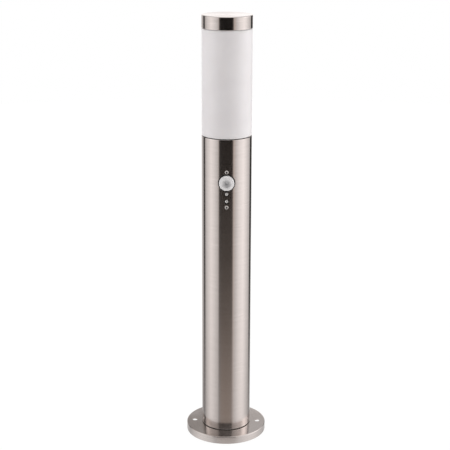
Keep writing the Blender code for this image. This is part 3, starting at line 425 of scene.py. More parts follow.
def mouldedPlastic(name, look):
    material, start, shader = beginFinish(name)
    grain = place(start).noise(look["grain"], 2.0)
    flow = place(start).noise(70.0, 3.0, 0.55)
    shade = (flow.ease(0.35, 0.70) * 0.8).mix(look["colour"], look["light"])
    shade = (grain.ease(0.35, 0.7) * 0.25).mix(shade, look["light"])
    rough = look["roughness"] + flow * 0.12 + grain * 0.08 - 0.10
    normal = grain.bump(0.5, look["depth"])
    paint(start, shader, shade, rough, normal)
    return material


rubberLook = {
    "black": {"colour": (0.012, 0.012, 0.012), "bloom": (0.045, 0.044, 0.043), "roughness": 0.74},
    "dusty": {"colour": (0.07, 0.065, 0.06), "bloom": (0.16, 0.15, 0.14), "roughness": 0.80},
    "white": {"colour": (0.74, 0.735, 0.725), "bloom": (0.82, 0.815, 0.81), "roughness": 0.62},
}


def rubber(name, look):
    material, start, shader = beginFinish(name)
    bloom = place(start).noise(320.0, 4.0, 0.6)
    pores = place(start).noise(4200.0, 2.0)
    shade = bloom.ease(0.40, 0.75).mix(look["colour"], look["bloom"])
    rough = look["roughness"] + bloom * 0.16 - 0.08
    paint(start, shader, shade, rough, pores.bump(0.5, 0.00003))
    return material


opalLook = {
    "colour": (0.862, 0.848, 0.866),
    "cloud": (0.888, 0.876, 0.894),
    # painted shade where the diffuser meets the cap and the tube
    "joint shade": (0.80, 0.79, 0.785),
    "joint shade reach": (0.0005, 0.006),
    "roughness": 0.40,
    "light through": 0.25,
}


def opalPlastic(name, edges=(), **changes):
    look = {**opalLook, **changes}
    material, start, shader = beginFinish(name)
    z = place(start).split()[2]
    cloud = place(start).noise(26.0, 3.0, 0.5)
    grain = place(start).noise(2400.0, 2.0)
    shade = cloud.ease(0.35, 0.65).mix(look["colour"], look["cloud"])
    for height in edges:  # painted shade by the joints, under the cap and above the tube, patchy with the cloud
        near = start.sum("ABSOLUTE", z - height).fall(*look["joint shade reach"])
        shade = (near * cloud.ease(0.30, 0.70) * 0.6).mix(shade, look["joint shade"])
    rough = look["roughness"] + cloud * 0.08 + grain * 0.04 - 0.06
    paint(start, shader, shade, rough, grain.bump(0.25, 0.00001),
          Subsurface_Weight=look["light through"], Subsurface_Radius=(1.0, 0.95, 0.9), Subsurface_Scale=0.004)
    return material


lensLook = {
    "colour": (0.235, 0.24, 0.25),
    "thick": (0.80, 0.80, 0.81),
    "core": (0.0006, 0.0100, -0.0010),      # the dark core's start, its end and its place up the dome; the core is partly the detector seen through and partly painted shade
    "roughness": 0.24,
    "rings": 5200.0,
}


def lensPlastic(name, centre):
    look = lensLook
    material, start, shader = beginFinish(name)
    near, far, drop = look["core"]
    x, y, z, radius = about(start, (centre[0], centre[1], centre[2] + drop), "Y")
    cloud = place(start).noise(420.0, 3.0)
    # painted highlight at the rim and painted shade in the core, with the detector seen through the middle as
    # well
    rim = radius.ease(near, far)
    shade = rim.mix(look["colour"], look["thick"])
    shade = (cloud.ease(0.35, 0.7) * 0.3).mix(shade, look["thick"])
    rings = start.sum("SINE", radius * look["rings"])
    rough = look["roughness"] + cloud * 0.10 - 0.05
    paint(start, shader, shade, rough, rings.bump(0.12, 0.00002),
          Subsurface_Weight=0.2, Subsurface_Radius=(1.0, 1.0, 1.0), Subsurface_Scale=0.002)
    return material


boardLook = {
    "mask": (0.020, 0.13, 0.055),
    "track": (0.035, 0.22, 0.09),
    "pad": (0.62, 0.60, 0.55),
    "track scale": 260.0,
    "pad scale": 420.0,
}


def circuitBoard(name):
    material, start, shader = beginFinish(name)
    x, y, z = place(start).split()
    flat = start.join(x, z, 0.0)
    bricks = {"Vector": flat, "Scale": boardLook["track scale"], "Mortar Size": 0.035, "Brick Width": 1.6,
              "Row Height": 0.5, "Color1": (0, 0, 0), "Color2": (0, 0, 0), "Mortar": (1, 1, 1)}
    tracks = flat.add("ShaderNodeTexBrick", {"offset": 0.37}, bricks, "Fac")
    cells = {"Vector": flat, "Scale": boardLook["pad scale"], "Randomness": 0.25}
    pads = flat.add("ShaderNodeTexVoronoi", None, cells, "Distance").fall(0.22, 0.26)
    weave = place(start).noise(1500.0, 2.0)
    shade = tracks.mix(boardLook["mask"], boardLook["track"])
    shade = pads.mix(shade, boardLook["pad"])
    rough = 0.34 + weave * 0.1 - pads * 0.08
    normal = (tracks * 0.5 + pads + weave * 0.2).bump(0.5, 0.00004)
    paint(start, shader, shade, rough, normal, pads * 0.9)
    return material


earthLook = {"green": (0.035, 0.26, 0.055), "yellow": (0.74, 0.60, 0.03), "stripes": 3400.0}


def earthSleeve(name):
    material, start, shader = beginFinish(name)
    x, y, z = place(start).split()
    stripe = start.sum("SINE", x * earthLook["stripes"]).ease(-0.15, 0.15)
    grain = place(start).noise(1800.0, 2.0)
    shade = stripe.mix(earthLook["green"], earthLook["yellow"])
    rough = 0.34 + grain * 0.1
    paint(start, shader, shade, rough, grain.bump(0.4, 0.00002))
    return material


def profile(corners, steps=5, closed=True):  # corners are (radius, height, rounding)
    points = []
    count = len(corners)
    for index, (radius, height, rounding) in enumerate(corners):
        here = Vector((radius, height))
        inner = closed or 0 < index < count - 1
        if not rounding or not inner:
            points.append(here)
            continue
        before = Vector(corners[index - 1][:2]) - here
        after = Vector(corners[(index + 1) % count][:2]) - here
        start = here + before.normalized() * min(rounding, before.length * 0.49)
        end = here + after.normalized() * min(rounding, after.length * 0.49)
        for step in range(steps + 1):
            t = step / steps
            points.append(start * (1 - t) ** 2 + here * 2 * t * (1 - t) + end * t ** 2)
    return points


def skin(shape, rings, steps):  # faces between each ring and the next
    for upper, lower in zip(rings, rings[1:]):
        for step in range(steps):
            following = (step + 1) % steps
            corners = [upper[step % len(upper)], upper[following % len(upper)]]
            corners += [lower[following % len(lower)], lower[step % len(lower)]]
            corners = list(dict.fromkeys(corners))
            if len(corners) > 2:
                shape.faces.new(corners)
    bmesh.ops.recalc_face_normals(shape, faces=shape.faces)


def lathe(name, points, steps, closed=True, reach=None):  # reach(point number, angle) scales the radius
    shape = bmesh.new()
    rings = []
    for number, point in enumerate(points):
        if point[0] < 1e-7:
            rings.append([shape.verts.new((0, 0, point[1]))])
            continue
        ring = []
        for step in range(steps):
            angle = math.tau * step / steps
            radius = point[0] * (reach(number, angle) if reach else 1)
            ring.append(shape.verts.new((radius * math.cos(angle), radius * math.sin(angle), point[1])))
        rings.append(ring)
    skin(shape, rings + rings[:1] if closed else rings, steps)
    return meshOf(name, shape)


def smooth(mesh, angle=32):
    mesh.shade_smooth()
    mesh.set_sharp_from_angle(angle=math.radians(angle))
    return mesh


def turned(name, corners, bends, steps, closed=True):
    return smooth(lathe(name, profile(corners, bends, closed), steps, closed))


def cutWith(mesh, tools):
    body = newObject("work", mesh)
    cutters = [newObject("cutter", tool) for tool in tools]
    for cutter in cutters:
        body.modifiers.new("cut", "BOOLEAN").object = cutter
    bpy.context.view_layer.update()
    result = bpy.data.meshes.new_from_object(body.evaluated_get(bpy.context.evaluated_depsgraph_get()))
    for thing in [body, *cutters]:
        bpy.data.objects.remove(thing)
    return result


def cutHoles(mesh, holes, steps=40):  # holes are (radius, start, end)
    drills = []
    for radius, start, end in holes:
        run = Vector(end) - Vector(start)
        shape = bmesh.new()
        bmesh.ops.create_cone(shape, cap_ends=True, segments=steps, radius1=radius, radius2=radius,
                              depth=run.length)
        turn = run.to_track_quat("Z", "Y").to_matrix().to_4x4()
        middle = Matrix.Translation((Vector(start) + Vector(end)) / 2)
        bmesh.ops.transform(shape, matrix=middle @ turn, verts=shape.verts)
        drills.append(meshOf("drill", shape))
    return cutWith(mesh, drills)


def trueRound(mesh):  # walls about Z get the normals of a true cylinder
    normals = []
    for polygon in mesh.polygons:
        for corner in polygon.loop_indices:
            spot = mesh.vertices[mesh.loops[corner].vertex_index].co
            outward = Vector((spot.x, spot.y, 0))
            steep = abs(polygon.normal.z) < 0.02 and outward.length > 0.02
            if steep and abs(polygon.normal.dot(outward.normalized())) > 0.995:
                side = 1 if polygon.normal.dot(outward) > 0 else -1
                normals.append(outward.normalized() * side)
            else:
                normals.append(Vector((0, 0, 0)))  # keeps the normal it had
    mesh.normals_split_custom_set(normals)
    return mesh


def faceFront(mesh, height):  # a shape turned about Z then looks out at -Y
    mesh.transform(Matrix.Translation((0, 0, height)) @ Matrix.Rotation(math.pi / 2, 4, "X"))
    return mesh


def addPiece(name, mesh, body, slotName, material, *replaced):
    mesh.materials.clear()
    mesh.materials.append(material)
    piece = newObject(name, mesh)
    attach(piece, body)
    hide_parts(*replaced)
    return piece


gap = 0.0003                     # the pieces' usual distance
past = 0.002                     # how far a drill reaches past a face
tubeLow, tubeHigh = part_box("body_tube")
tubeRadius = tubeHigh.x
tubeRim = tubeHigh.z
tubeFoot = tubeLow.z


def middleHeight(node):
    low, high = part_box(node)
    return (low.z + high.z) / 2


def halfWidth(node):
    low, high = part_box(node)
    return (high.x - low.x) / 2


baseLook = {
    "sheet": 0.0015,
    "edge": 0.0012,
    "anchor ring": 0.050,
    "anchor hole": 0.0040,
    "anchor turn": -2,
    "inlet": 0.010,
    "screw ring": 0.0260,
    "screw hole": 0.0028,
    "left top painted shade": (0.72, 0.70, 0.68),          # painted shade on the left of the top and painted highlight on its right, as shares of the steel's own
    "right top painted highlight": (1.16, 1.15, 1.14),
    "steps": 288,
}


def makeBase():
    low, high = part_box("base_plate")
    rim = high.x
    top = high.z
    look = baseLook
    corners = [(look["inlet"], top, 0.0003), (rim, top, look["edge"]), (rim, 0, 0.0003)]
    corners += [(rim - look["sheet"], 0, 0.0003), (rim - look["sheet"], top - look["sheet"], 0.0009)]
    corners.append((look["inlet"], top - look["sheet"], 0.0003))
    mesh = lathe("baseShell", profile(corners, 7), look["steps"])
    holes = []
    for turn in (look["anchor turn"], look["anchor turn"] + 180):
        x = look["anchor ring"] * math.cos(math.radians(turn))
        y = look["anchor ring"] * math.sin(math.radians(turn))
        holes.append((look["anchor hole"], (x, y, past), (x, y, top + past)))
    for node in ("foot_screw_left", "foot_screw_right"):
        corner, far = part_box(node)
        x = (corner.x + far.x) / 2
        holes.append((look["screw hole"], (x, 0, past), (x, 0, top + past)))
    mesh = trueRound(smooth(cutHoles(mesh, holes)))
    finish = brushedSteel("baseSteel", (top - 0.0005,), roughness=0.20, anisotropic=0.6, depth=0.0000015,
                          top=(top, look["left top painted shade"], look["right top painted highlight"]))
    addPiece("baseShell", mesh, "post", "brushed_steel", finish, "base_plate")


tubeLook = {"wall": 0.0015, "edge": 0.0005, "window": 0.0037, "screw hole": 0.0019, "steps": 288}


def makeTube():
    look = tubeLook
    bore = tubeRadius - look["wall"]
    corners = [(bore, tubeRim, 0.0003), (tubeRadius, tubeRim, look["edge"])]
    corners += [(tubeRadius, tubeFoot, look["edge"]), (bore, tubeFoot, 0.0003)]
    mesh = lathe("tubeShell", profile(corners, 6), look["steps"])
    windows = [(middleHeight("lens_collar"), halfWidth("lens_collar") + gap)]
    windows += [(middleHeight(node), look["window"]) for node in ("lux_knob", "time_knob")]
    windows += [(middleHeight(f"sensor_screw_{end}"), look["screw hole"]) for end in ("upper", "lower")]
    holes = [(radius, (0, -tubeRadius - 0.01, height), (0, -0.01, height)) for height, radius in windows]
    mesh = trueRound(smooth(cutHoles(mesh, holes, 48)))
    finish = brushedSteel("tubeSteel", (tubeRim, tubeFoot))
    addPiece("tubeShell", mesh, "post", "brushed_steel", finish, "body_tube")


def makeSeal(node, name, slotName, finish, edge=0.00015):
    low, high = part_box(node)
    inner = innerRadius(node)
    outer = high.x
    corners = [(inner, high.z, edge), (outer, high.z, edge), (outer, low.z, edge), (inner, low.z, edge)]
    addPiece(name, turned(name, corners, 4, 192), "head", slotName, finish, node)


def makeFootSeal(finish):  # squeezed by the tube, it fills the joint
    low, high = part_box("foot_seal")
    fill = gap * 0.8
    inner = innerRadius("foot_seal")
    outer = tubeRadius - 0.0001
    corners = [(inner, high.z + fill, 0.0002), (outer, high.z + fill, 0.0003)]
    corners += [(outer, low.z - fill, 0.0003), (inner, low.z - fill, 0.0002)]
    addPiece("footSeal", turned("footSeal", corners, 4, 240), "post", "black_rubber", finish, "foot_seal")


def innerRadius(node):
    return min(Vector(vertex.co[:2]).length for vertex in nodes[node].data.vertices)


headLook = {
    "wall": 0.0035,
    "roof": 0.002,
    "shoulder": 0.0005,
    "groove": 0.001,
    "spigot fit": 0.00045,
    "cap wall": 0.0012,
    "cap edge": 0.0016,
}


def makeDiffuser(finish):
    low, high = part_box("diffuser")
    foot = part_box("head_seal")[1].z + gap
    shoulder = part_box("cap_seal")[0].z - gap
    ringLow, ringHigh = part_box("neck_ring")
    outer = high.x
    bore = outer - headLook["wall"]
    spigot = tubeRadius - tubeLook["wall"] - headLook["spigot fit"]
    groove = spigot - headLook["groove"]
    capSpigot = tubeRadius - headLook["cap wall"] - headLook["spigot fit"]
    ceiling = high.z - headLook["roof"]
    corners = [(0, high.z, 0), (capSpigot, high.z, 0.001), (capSpigot, shoulder, 0.0002)]
    corners += [(outer, shoulder, headLook["shoulder"]), (outer, foot, headLook["shoulder"])]
    corners.append((spigot, foot, 0.0002))
    corners += [(spigot, ringHigh.z + gap, 0.0002), (groove, ringHigh.z + gap, 0.0002)]
    corners += [(groove, ringLow.z - gap, 0.0002), (spigot, ringLow.z - gap, 0.0002)]
    corners += [(spigot, low.z, 0.0006), (bore, low.z, 0.0006), (bore, ceiling, 0.001), (0, ceiling, 0)]
    mesh = trueRound(turned("diffuserShell", corners, 5, 192, False))
    addPiece("diffuserShell", mesh, "head", "opal_plastic", finish, "diffuser")


def makeCap():
    low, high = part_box("top_cap")
    wall = headLook["cap wall"]
    corners = [(0, high.z, 0), (high.x, high.z, headLook["cap edge"]), (high.x, low.z, 0.0003)]
    corners += [(high.x - wall, low.z, 0.0003), (high.x - wall, high.z - wall, 0.0008), (0, high.z - wall, 0)]
    mesh = trueRound(turned("capShell", corners, 8, 288, False))
    finish = brushedSteel("capSteel", (high.z - 0.0004, low.z))
    addPiece("capShell", mesh, "head", "brushed_steel", finish, "top_cap")


domeLook = {
    "bulge": 0.00034,            # how far the small lenses swell out
    "rows": ((0.0, 0.30, 1), (0.30, 0.66, 8), (0.66, 1.0, 16)),
    "seat": 0.0008,              # the dome's edge stands this far off the tube
    "wall": 0.001,
    "steps": 144,
    "rings": 30,
    "inner rings": 8,
}


def makeLens():
    low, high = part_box("fresnel_lens")
    centre = middleHeight("fresnel_lens")
    radius = halfWidth("fresnel_lens")
    apex = -low.y
    foot = tubeRadius + domeLook["seat"]
    rise = apex - foot - domeLook["bulge"]
    sphere = (radius ** 2 + rise ** 2) / (2 * rise)
    spread = math.asin(radius / sphere)
    wallRadius = radius - domeLook["wall"]
    inner = sphere - domeLook["wall"]
    innerSpread = math.asin(wallRadius / inner)
    angles = [math.tau * step / domeLook["steps"] for step in range(domeLook["steps"])]
    shape = bmesh.new()

    def swell(share, angle):
        for start, end, count in domeLook["rows"]:
            if share <= end:
                along = 2 * (share - start) / (end - start) - 1
                if count == 1:
                    return 1 - (share / end) ** 4
                around = 2 * ((angle / math.tau * count) % 1) - 1
                return (1 - along ** 4) * (1 - around ** 4)
        return 0

    def evenRing(flat, up):
        return [shape.verts.new((flat * math.cos(angle), flat * math.sin(angle), up)) for angle in angles]

    rings = [[shape.verts.new((0, 0, foot + rise + domeLook["bulge"]))]]
    for number in range(1, domeLook["rings"] + 1):
        share = number / domeLook["rings"]
        ring = []
        for angle in angles:
            out = sphere + domeLook["bulge"] * swell(share, angle) * (1 if share < 1 else 0)
            lean = spread * share
            flat = out * math.sin(lean)
            up = foot + rise - sphere + out * math.cos(lean)
            ring.append(shape.verts.new((flat * math.cos(angle), flat * math.sin(angle), up)))
        rings.append(ring)

    for flat, up in ((radius, -high.y), (wallRadius, -high.y), (wallRadius, foot - 0.0002)):
        rings.append(evenRing(flat, up))
    for number in range(domeLook["inner rings"] - 1, 0, -1):
        lean = innerSpread * number / domeLook["inner rings"]
        rings.append(evenRing(inner * math.sin(lean), foot + rise - sphere + inner * math.cos(lean)))
    rings.append([shape.verts.new((0, 0, foot + rise - domeLook["wall"]))])
    skin(shape, rings, domeLook["steps"])
    mesh = faceFront(smooth(meshOf("lensDome", shape), 40), centre)
    finish = lensPlastic("lensMilk", (0, 0, centre))
    addPiece("lensDome", mesh, "post", "lens_plastic", finish, "fresnel_lens")


collarFit = 0.00025              # between the lens and its collar


def makeCollar(finish):
    low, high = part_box("lens_collar")
    outer = halfWidth("lens_collar")
    inner = halfWidth("fresnel_lens") + collarFit
    corners = [(inner, -low.y, 0.0003), (outer, -low.y, 0.0004), (outer, -high.y, 0), (inner, -high.y, 0)]
    mesh = faceFront(turned("collarRing", corners, 5, 96), middleHeight("lens_collar"))
    addPiece("collarRing", mesh, "post", "black_plastic", finish, "lens_collar")


socketLook = {
    "across": 0.0026,
    "depth": 0.0014,
    "mouth": 1.25,               # the flat round the socket, as a share of it
    "shank": 0.0016,
    "thread": 0.00022,
    "pitch": 0.0006,
    # the socket's near-black is painted shade
    "socket painted shade": (0.012, 0.011, 0.010),
}


def makeSensorScrew(end):
    node = f"sensor_screw_{end}"
    low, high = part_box(node)
    centre = middleHeight(node)
    head = halfWidth(node)
    seat = tubeRadius + gap
    top = -low.y
    height = top - seat
    tip = -high.y
    apothem = socketLook["across"] / 2
    mouth = apothem * socketLook["mouth"]
    bottom = top - socketLook["depth"]
    outline = [(0, bottom - 0.0003), (apothem * 0.75, bottom)]
    sixSided = [len(outline) + index for index in range(3)]
    outline += [(apothem, bottom), (apothem, top - 0.00022), (apothem * 1.02, top - 0.0001)]
    outline += [(apothem * 1.20, top - 0.00002), (mouth, top)]
    brim = 0.0003
    for step in range(1, 9):
        angle = math.radians(90 * step / 8)
        up = seat + brim + (height - brim) * math.cos(angle)
        outline.append((mouth + (head - mouth) * math.sin(angle), up))
    outline += [(head, seat + 0.0001), (head - 0.0001, seat)]
    outline += threaded(socketLook["shank"], socketLook["thread"], socketLook["pitch"], seat, tip)

    def hexagon(number, angle):
        if number not in sixSided:
            return 1
        around = (angle + math.pi / 6) % (math.pi / 3) - math.pi / 6
        return 1 / math.cos(around)

    mesh = lathe(f"{end}Screw", [Vector(point) for point in outline], 72, False, hexagon)
    faceFront(smooth(mesh, 30), centre)
    finish = turnedMetal(f"{end}ScrewSteel", metalLook["bright"], (0, 0, centre), "Y", apothem, top)
    addPiece(f"{end}Screw", mesh, "post", "bright_steel", finish, node)


knobLook = {
    "edge": 0.0003,
    "stub": 0.0023,              # radius of the pale stub in the middle
    "shoulder": 0.0007,          # how far the grey shoulder lies behind it
    "shaft": 0.0015,
    "length": 0.0042,
    "slot width": 0.0008,
    "slot depth": 0.0011,
    "flutes": 12,
    "flute depth": 0.03,
    "shoulder painted light and shade": ((0.035, 0.035, 0.036), (0.34, 0.335, 0.33)),       # painted shade on the left and painted light on the right
    # the stub is painted lit on the left and shaded on the right
    "stub painted light and shade": ((0.97, 0.97, 0.96), (0.74, 0.74, 0.73)),
    # the slot's near-black is painted shade
    "slot painted shade": (0.03, 0.03, 0.03),
    "scuff": (0.5, 0.5, 0.5),
    "left to right": (-0.0022, 0.0026),      # where the painted light and shade of the left turn into those of the right
}


def knobPlastic(name, centre, tip):
    material, start, shader = beginFinish(name)
    x, y, z, radius = about(start, centre, "Y")
    grain = place(start).noise(2200.0, 2.0)
    flow = place(start).noise(300.0, 3.0)
    # painted light and shade that change from left to right, with the slot painted dark
    side = (x + flow * 0.0006).ease(*knobLook["left to right"])
    shoulder = side.mix(*knobLook["shoulder painted light and shade"])
    stub = radius.fall(knobLook["stub"] - 0.0002, knobLook["stub"] + 0.0001)
    pale = side.mix(*knobLook["stub painted light and shade"])
    shadedRecess = (0 - z).fall(tip - 0.0005, tip - 0.0002)
    shade = stub.mix(shoulder, shadedRecess.mix(pale, knobLook["slot painted shade"]))
    shade = (grain.ease(0.35, 0.7) * 0.15).mix(shade, knobLook["scuff"])
    rough = 0.34 + grain * 0.10 + flow * 0.06
    paint(start, shader, shade, rough, grain.bump(0.4, 0.00002))
    return material


def makeKnob(node, name, body, turn):
    low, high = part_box(node)
    centre = middleHeight(node)
    radius = halfWidth(node)
    tip, foot = -low.y, -high.y
    neck = tip - knobLook["length"]
    shoulder = tip - knobLook["shoulder"]
    stub = knobLook["stub"]
    shaft = knobLook["shaft"]
    corners = [(0, tip, 0), (stub, tip, knobLook["edge"]), (stub, shoulder, 0.0001)]
    corners += [(radius, shoulder, knobLook["edge"]), (radius, neck, 0.0002), (shaft, neck, 0.0002)]
    corners += [(shaft, foot, 0.0002), (0, foot, 0)]
    points = profile(corners, 4, False)

    def fluted(number, angle):
        wall = neck + 0.0001 < points[number][1] < shoulder - 0.0002 and points[number][0] > radius * 0.9
        return 1 - knobLook["flute depth"] * (0.5 + 0.5 * math.cos(angle * knobLook["flutes"])) * wall

    mesh = lathe(name, points, 96, False, fluted)
    size = (stub * 1.3, knobLook["slot width"], knobLook["slot depth"] * 2)
    mesh = cutSlot(mesh, size, tip, math.radians(turn))
    faceFront(smooth(mesh, 30), centre)
    finish = knobPlastic(f"{name}Plastic", (0, 0, centre), tip)
    addPiece(name, mesh, body, "grey_plastic", finish, node)


def cutSlot(mesh, size, height, turn=0.0):  # a driver's slot across the top of a turned shape
    shape = bmesh.new()
    bmesh.ops.create_cube(shape, size=1)
    bmesh.ops.scale(shape, vec=size, verts=shape.verts)
    turned = Matrix.Translation((0, 0, height)) @ Matrix.Rotation(turn, 4, "Z")
    bmesh.ops.transform(shape, matrix=turned, verts=shape.verts)
    return cutWith(mesh, [meshOf("slot", shape)])


def threaded(shank, depth, pitch, high, low):  # a fine thread from high down to low
    outline = [(shank, high)]
    along = high - 0.0005
    while along > low + pitch:
        outline += [(shank - depth, along), (shank, along - pitch / 2)]
        along -= pitch
    return outline + [(shank - depth, low), (0, low)]


def finishNode(finish, *names):  # these nodes keep their shape and get a finish
    for name in names:
        for materialSlot in nodes[name].material_slots:
            materialSlot.material = finish


def centreOf(node):
    low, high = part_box(node)
    return (low + high) / 2


dishLook = {
    "foot sheet": 0.002,
    "holder sheet": 0.0015,
    "fold": 0.003,
    "hole edge": 0.0003,
    "bracket hole": 0.0023,
}


def makeDish(node, name, finish, holes):  # a pressed dish with its rim turned up
    low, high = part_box(node)
    sheet = dishLook["foot sheet"] if node == "foot_bracket" else dishLook["holder sheet"]
    outer = high.x
    inner = innerRadius(node)
    corners = [(outer - sheet, high.z, 0.0004), (outer, high.z, 0.0004), (outer, low.z, dishLook["fold"])]
    corners += [(inner, low.z, dishLook["hole edge"]), (inner, low.z + sheet, dishLook["hole edge"])]
    corners.append((outer - sheet, low.z + sheet, dishLook["fold"] - sheet * 0.6))
    mesh = lathe(name, profile(corners, 6), 144)
    drills = [(radius, (x, y, low.z - past), (x, y, low.z + sheet + past)) for x, y, radius in holes]
    mesh = smooth(cutHoles(mesh, drills, 32))
    addPiece(name, mesh, "post", "zinc_steel", finish, node)


def footHoles():
    screws = ("foot_screw_left", "foot_screw_right")
    holes = [(centreOf(node).x, 0, baseLook["screw hole"]) for node in screws]
    return holes + [(0, centreOf("bracket_screw").y, dishLook["bracket hole"])]


def holderHoles():
    screws = ("holder_screw_front", "holder_screw_back")
    holes = [(0, centreOf(node).y, holderLook["screw hole"]) for node in screws]
    return holes + [(side * lampWire, 0, holderLook["wire hole"]) for side in (-1, 1)]


grommetLip = 0.0015              # thickness of each of its two lips


def makeGrommet(finish):
    low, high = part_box("cable_grommet")
    lip = high.x
    neck = baseLook["inlet"] - gap
    bore = innerRadius("cable_grommet")
    thick = grommetLip
    corners = [(bore, high.z, 0.0005), (lip, high.z, 0.0006), (lip, high.z - thick, 0.0003)]
    corners += [(neck, high.z - thick, 0.0001), (neck, low.z + thick, 0.0001), (lip, low.z + thick, 0.0003)]
    corners += [(lip, low.z, 0.0006), (bore, low.z, 0.0005), (bore - 0.0004, (low.z + high.z) / 2, 0.001)]
    mesh = turned("cableGrommet", corners, 5, 120)
    addPiece("cableGrommet", mesh, "post", "black_rubber", finish, "cable_grommet")


# Each screw's node, its name, the way its head faces, its shank's radius and its head's height.
screwTable = (
    ("foot_screw_left", "leftFootScrew", "down", 0.0025, 0.0028),
    ("foot_screw_right", "rightFootScrew", "down", 0.0025, 0.0028),
    ("bracket_screw", "bracketScrew", "up", 0.0020, 0.0024),
    ("block_screw_left", "leftBlockScrew", "front", 0.0015, 0.0016),
    ("block_screw_right", "rightBlockScrew", "front", 0.0015, 0.0016),
    ("clamp_screw_left", "leftClampScrew", "front", 0.0016, 0.0021),
    ("clamp_screw_right", "rightClampScrew", "front", 0.0016, 0.0021),
    ("earth_screw", "earthScrew", "front", 0.0020, 0.0024),
    ("holder_screw_front", "frontHolderScrew", "down", 0.0015, 0.0019),
    ("holder_screw_back", "backHolderScrew", "down", 0.0015, 0.0019),
)
screwLook = {"thread": 0.12, "pitch": 0.32, "crown": 0.62, "slot": 0.24}  # shares of the screw's radii


def makeScrew(node, name, way, shank, headHeight, slotName, finish):
    low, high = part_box(node)
    centre = (low + high) / 2
    head = (high.x - low.x) / 2
    length = (high.y - low.y) if way == "front" else (high.z - low.z)
    outline = [(0, 0)]
    for step in range(1, 10):
        angle = math.radians(90 * step / 9)
        drop = headHeight * screwLook["crown"] * (1 - math.cos(angle))
        outline.append((head * math.sin(angle) ** 0.8, -drop))
    outline += [(head, 0.0001 - headHeight), (head - 0.0001, -headHeight)]
    pitch = shank * screwLook["pitch"]
    outline += threaded(shank, shank * screwLook["thread"], pitch, -headHeight, -length)
    mesh = lathe(name, [Vector(point) for point in outline], 48, False)
    size = (head * 1.5, head * screwLook["slot"], headHeight)
    mesh = smooth(cutSlot(mesh, size, 0.0), 30)
    turns = {"up": 0.0, "front": math.pi / 2, "down": math.pi}
    tops = {"up": (centre.x, centre.y, high.z), "down": (centre.x, centre.y, low.z),
            "front": (centre.x, low.y, centre.z)}
    mesh.transform(Matrix.Translation(tops[way]) @ Matrix.Rotation(turns[way], 4, "X"))
    addPiece(name, mesh, "post", slotName, finish, node)


lampWire = 0.006                 # sideways place of the lamp's wires in the holder
holderLook = {
    "floor": 0.0047,
    "top band": 0.0055,
    "foot band": 0.0060,
    "waist": 0.0005,             # how far the ribbed waist lies behind the bands
    "ribs": 32,
    "rib depth": 0.018,
    "wire hole": 0.0017,
    "screw hole": 0.0018,
}


def makeHolder(finish):
    look = holderLook
    low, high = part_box("lampholder_body")
    outer = high.x
    cavity = low.z + look["floor"]
    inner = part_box("lampholder_sleeve")[1].x + gap
    corners = [(0, cavity, 0), (inner, cavity, 0.0006), (inner, high.z, 0.0006), (outer, high.z, 0.0014)]
    bandTop, bandFoot, waist = high.z - look["top band"], low.z + look["foot band"], outer - look["waist"]
    corners += [(outer, bandTop, 0.0003), (waist, bandTop - 0.0007, 0.0003)]
    corners += [(waist, bandFoot + 0.0008, 0.0003), (outer, bandFoot, 0.0003)]
    corners += [(outer, low.z, 0.0008), (0, low.z, 0)]
    points = profile(corners, 4, False)

    def ribbed(number, angle):
        radius, height = points[number]
        wall = bandFoot + 0.0009 < height < bandTop - 0.0006 and radius > inner + 0.001
        return 1 - look["rib depth"] * (0.5 + 0.5 * math.cos(angle * look["ribs"])) * wall

    mesh = lathe("lampHolder", points, 192, False, ribbed)
    start, end = low.z - past, cavity - 0.001
    holes = [(look["wire hole"], (side * lampWire, 0, start), (side * lampWire, 0, end)) for side in (-1, 1)]
    for node in ("holder_screw_front", "holder_screw_back"):
        y = centreOf(node).y
        holes.append((look["screw hole"], (0, y, start), (0, y, end)))
    mesh = smooth(cutHoles(mesh, holes, 32))
    addPiece("lampHolder", mesh, "post", "white_plastic", finish, "lampholder_body")


# The lamp climbs one pitch in a turn, and the sleeve's thread follows it.
threadLook = {"pitch": 0.00362, "cap depth": 0.0010, "sleeve depth": 0.0006, "rise": 0.0004}


def windThread(points, low, high, depth):  # gives reach() for a thread between two heights
    def wound(number, angle):
        radius, height = points[number]
        if radius < 0.008:
            return 1
        fade = min(1, max(0, (height - low) / 0.001)) * min(1, max(0, (high - height) / 0.001))
        wave = 0.5 + 0.5 * math.cos(math.tau * (height / threadLook["pitch"]) - angle)
        return 1 - depth * wave * fade / radius
    return wound


def ladder(radius, low, high, step):  # heights up a wall, close enough for a thread
    count = max(2, round((high - low) / step))
    return [Vector((radius, low + (high - low) * number / count)) for number in range(count + 1)]


def makeSleeve(finish):
    low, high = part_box("lampholder_sleeve")
    outer = high.x
    inner = innerRadius("lampholder_sleeve")
    step = threadLook["rise"]
    points = ladder(inner, low.z, high.z, step) + ladder(outer, low.z, high.z, step)[::-1]
    wound = windThread(points, low.z + 0.001, high.z - 0.001, threadLook["sleeve depth"])
    mesh = smooth(lathe("threadedSleeve", points, 96, True, wound), 60)
    addPiece("threadedSleeve", mesh, "post", "brass", finish, "lampholder_sleeve")


bulbLook = {
    "shell wall": 0.0006,
    "body wall": 0.0016,
    "dome wall": 0.0012,
    "flare": 1.35,               # how late the body widens
    "fins": 28,
    "fin depth": 0.010,
}


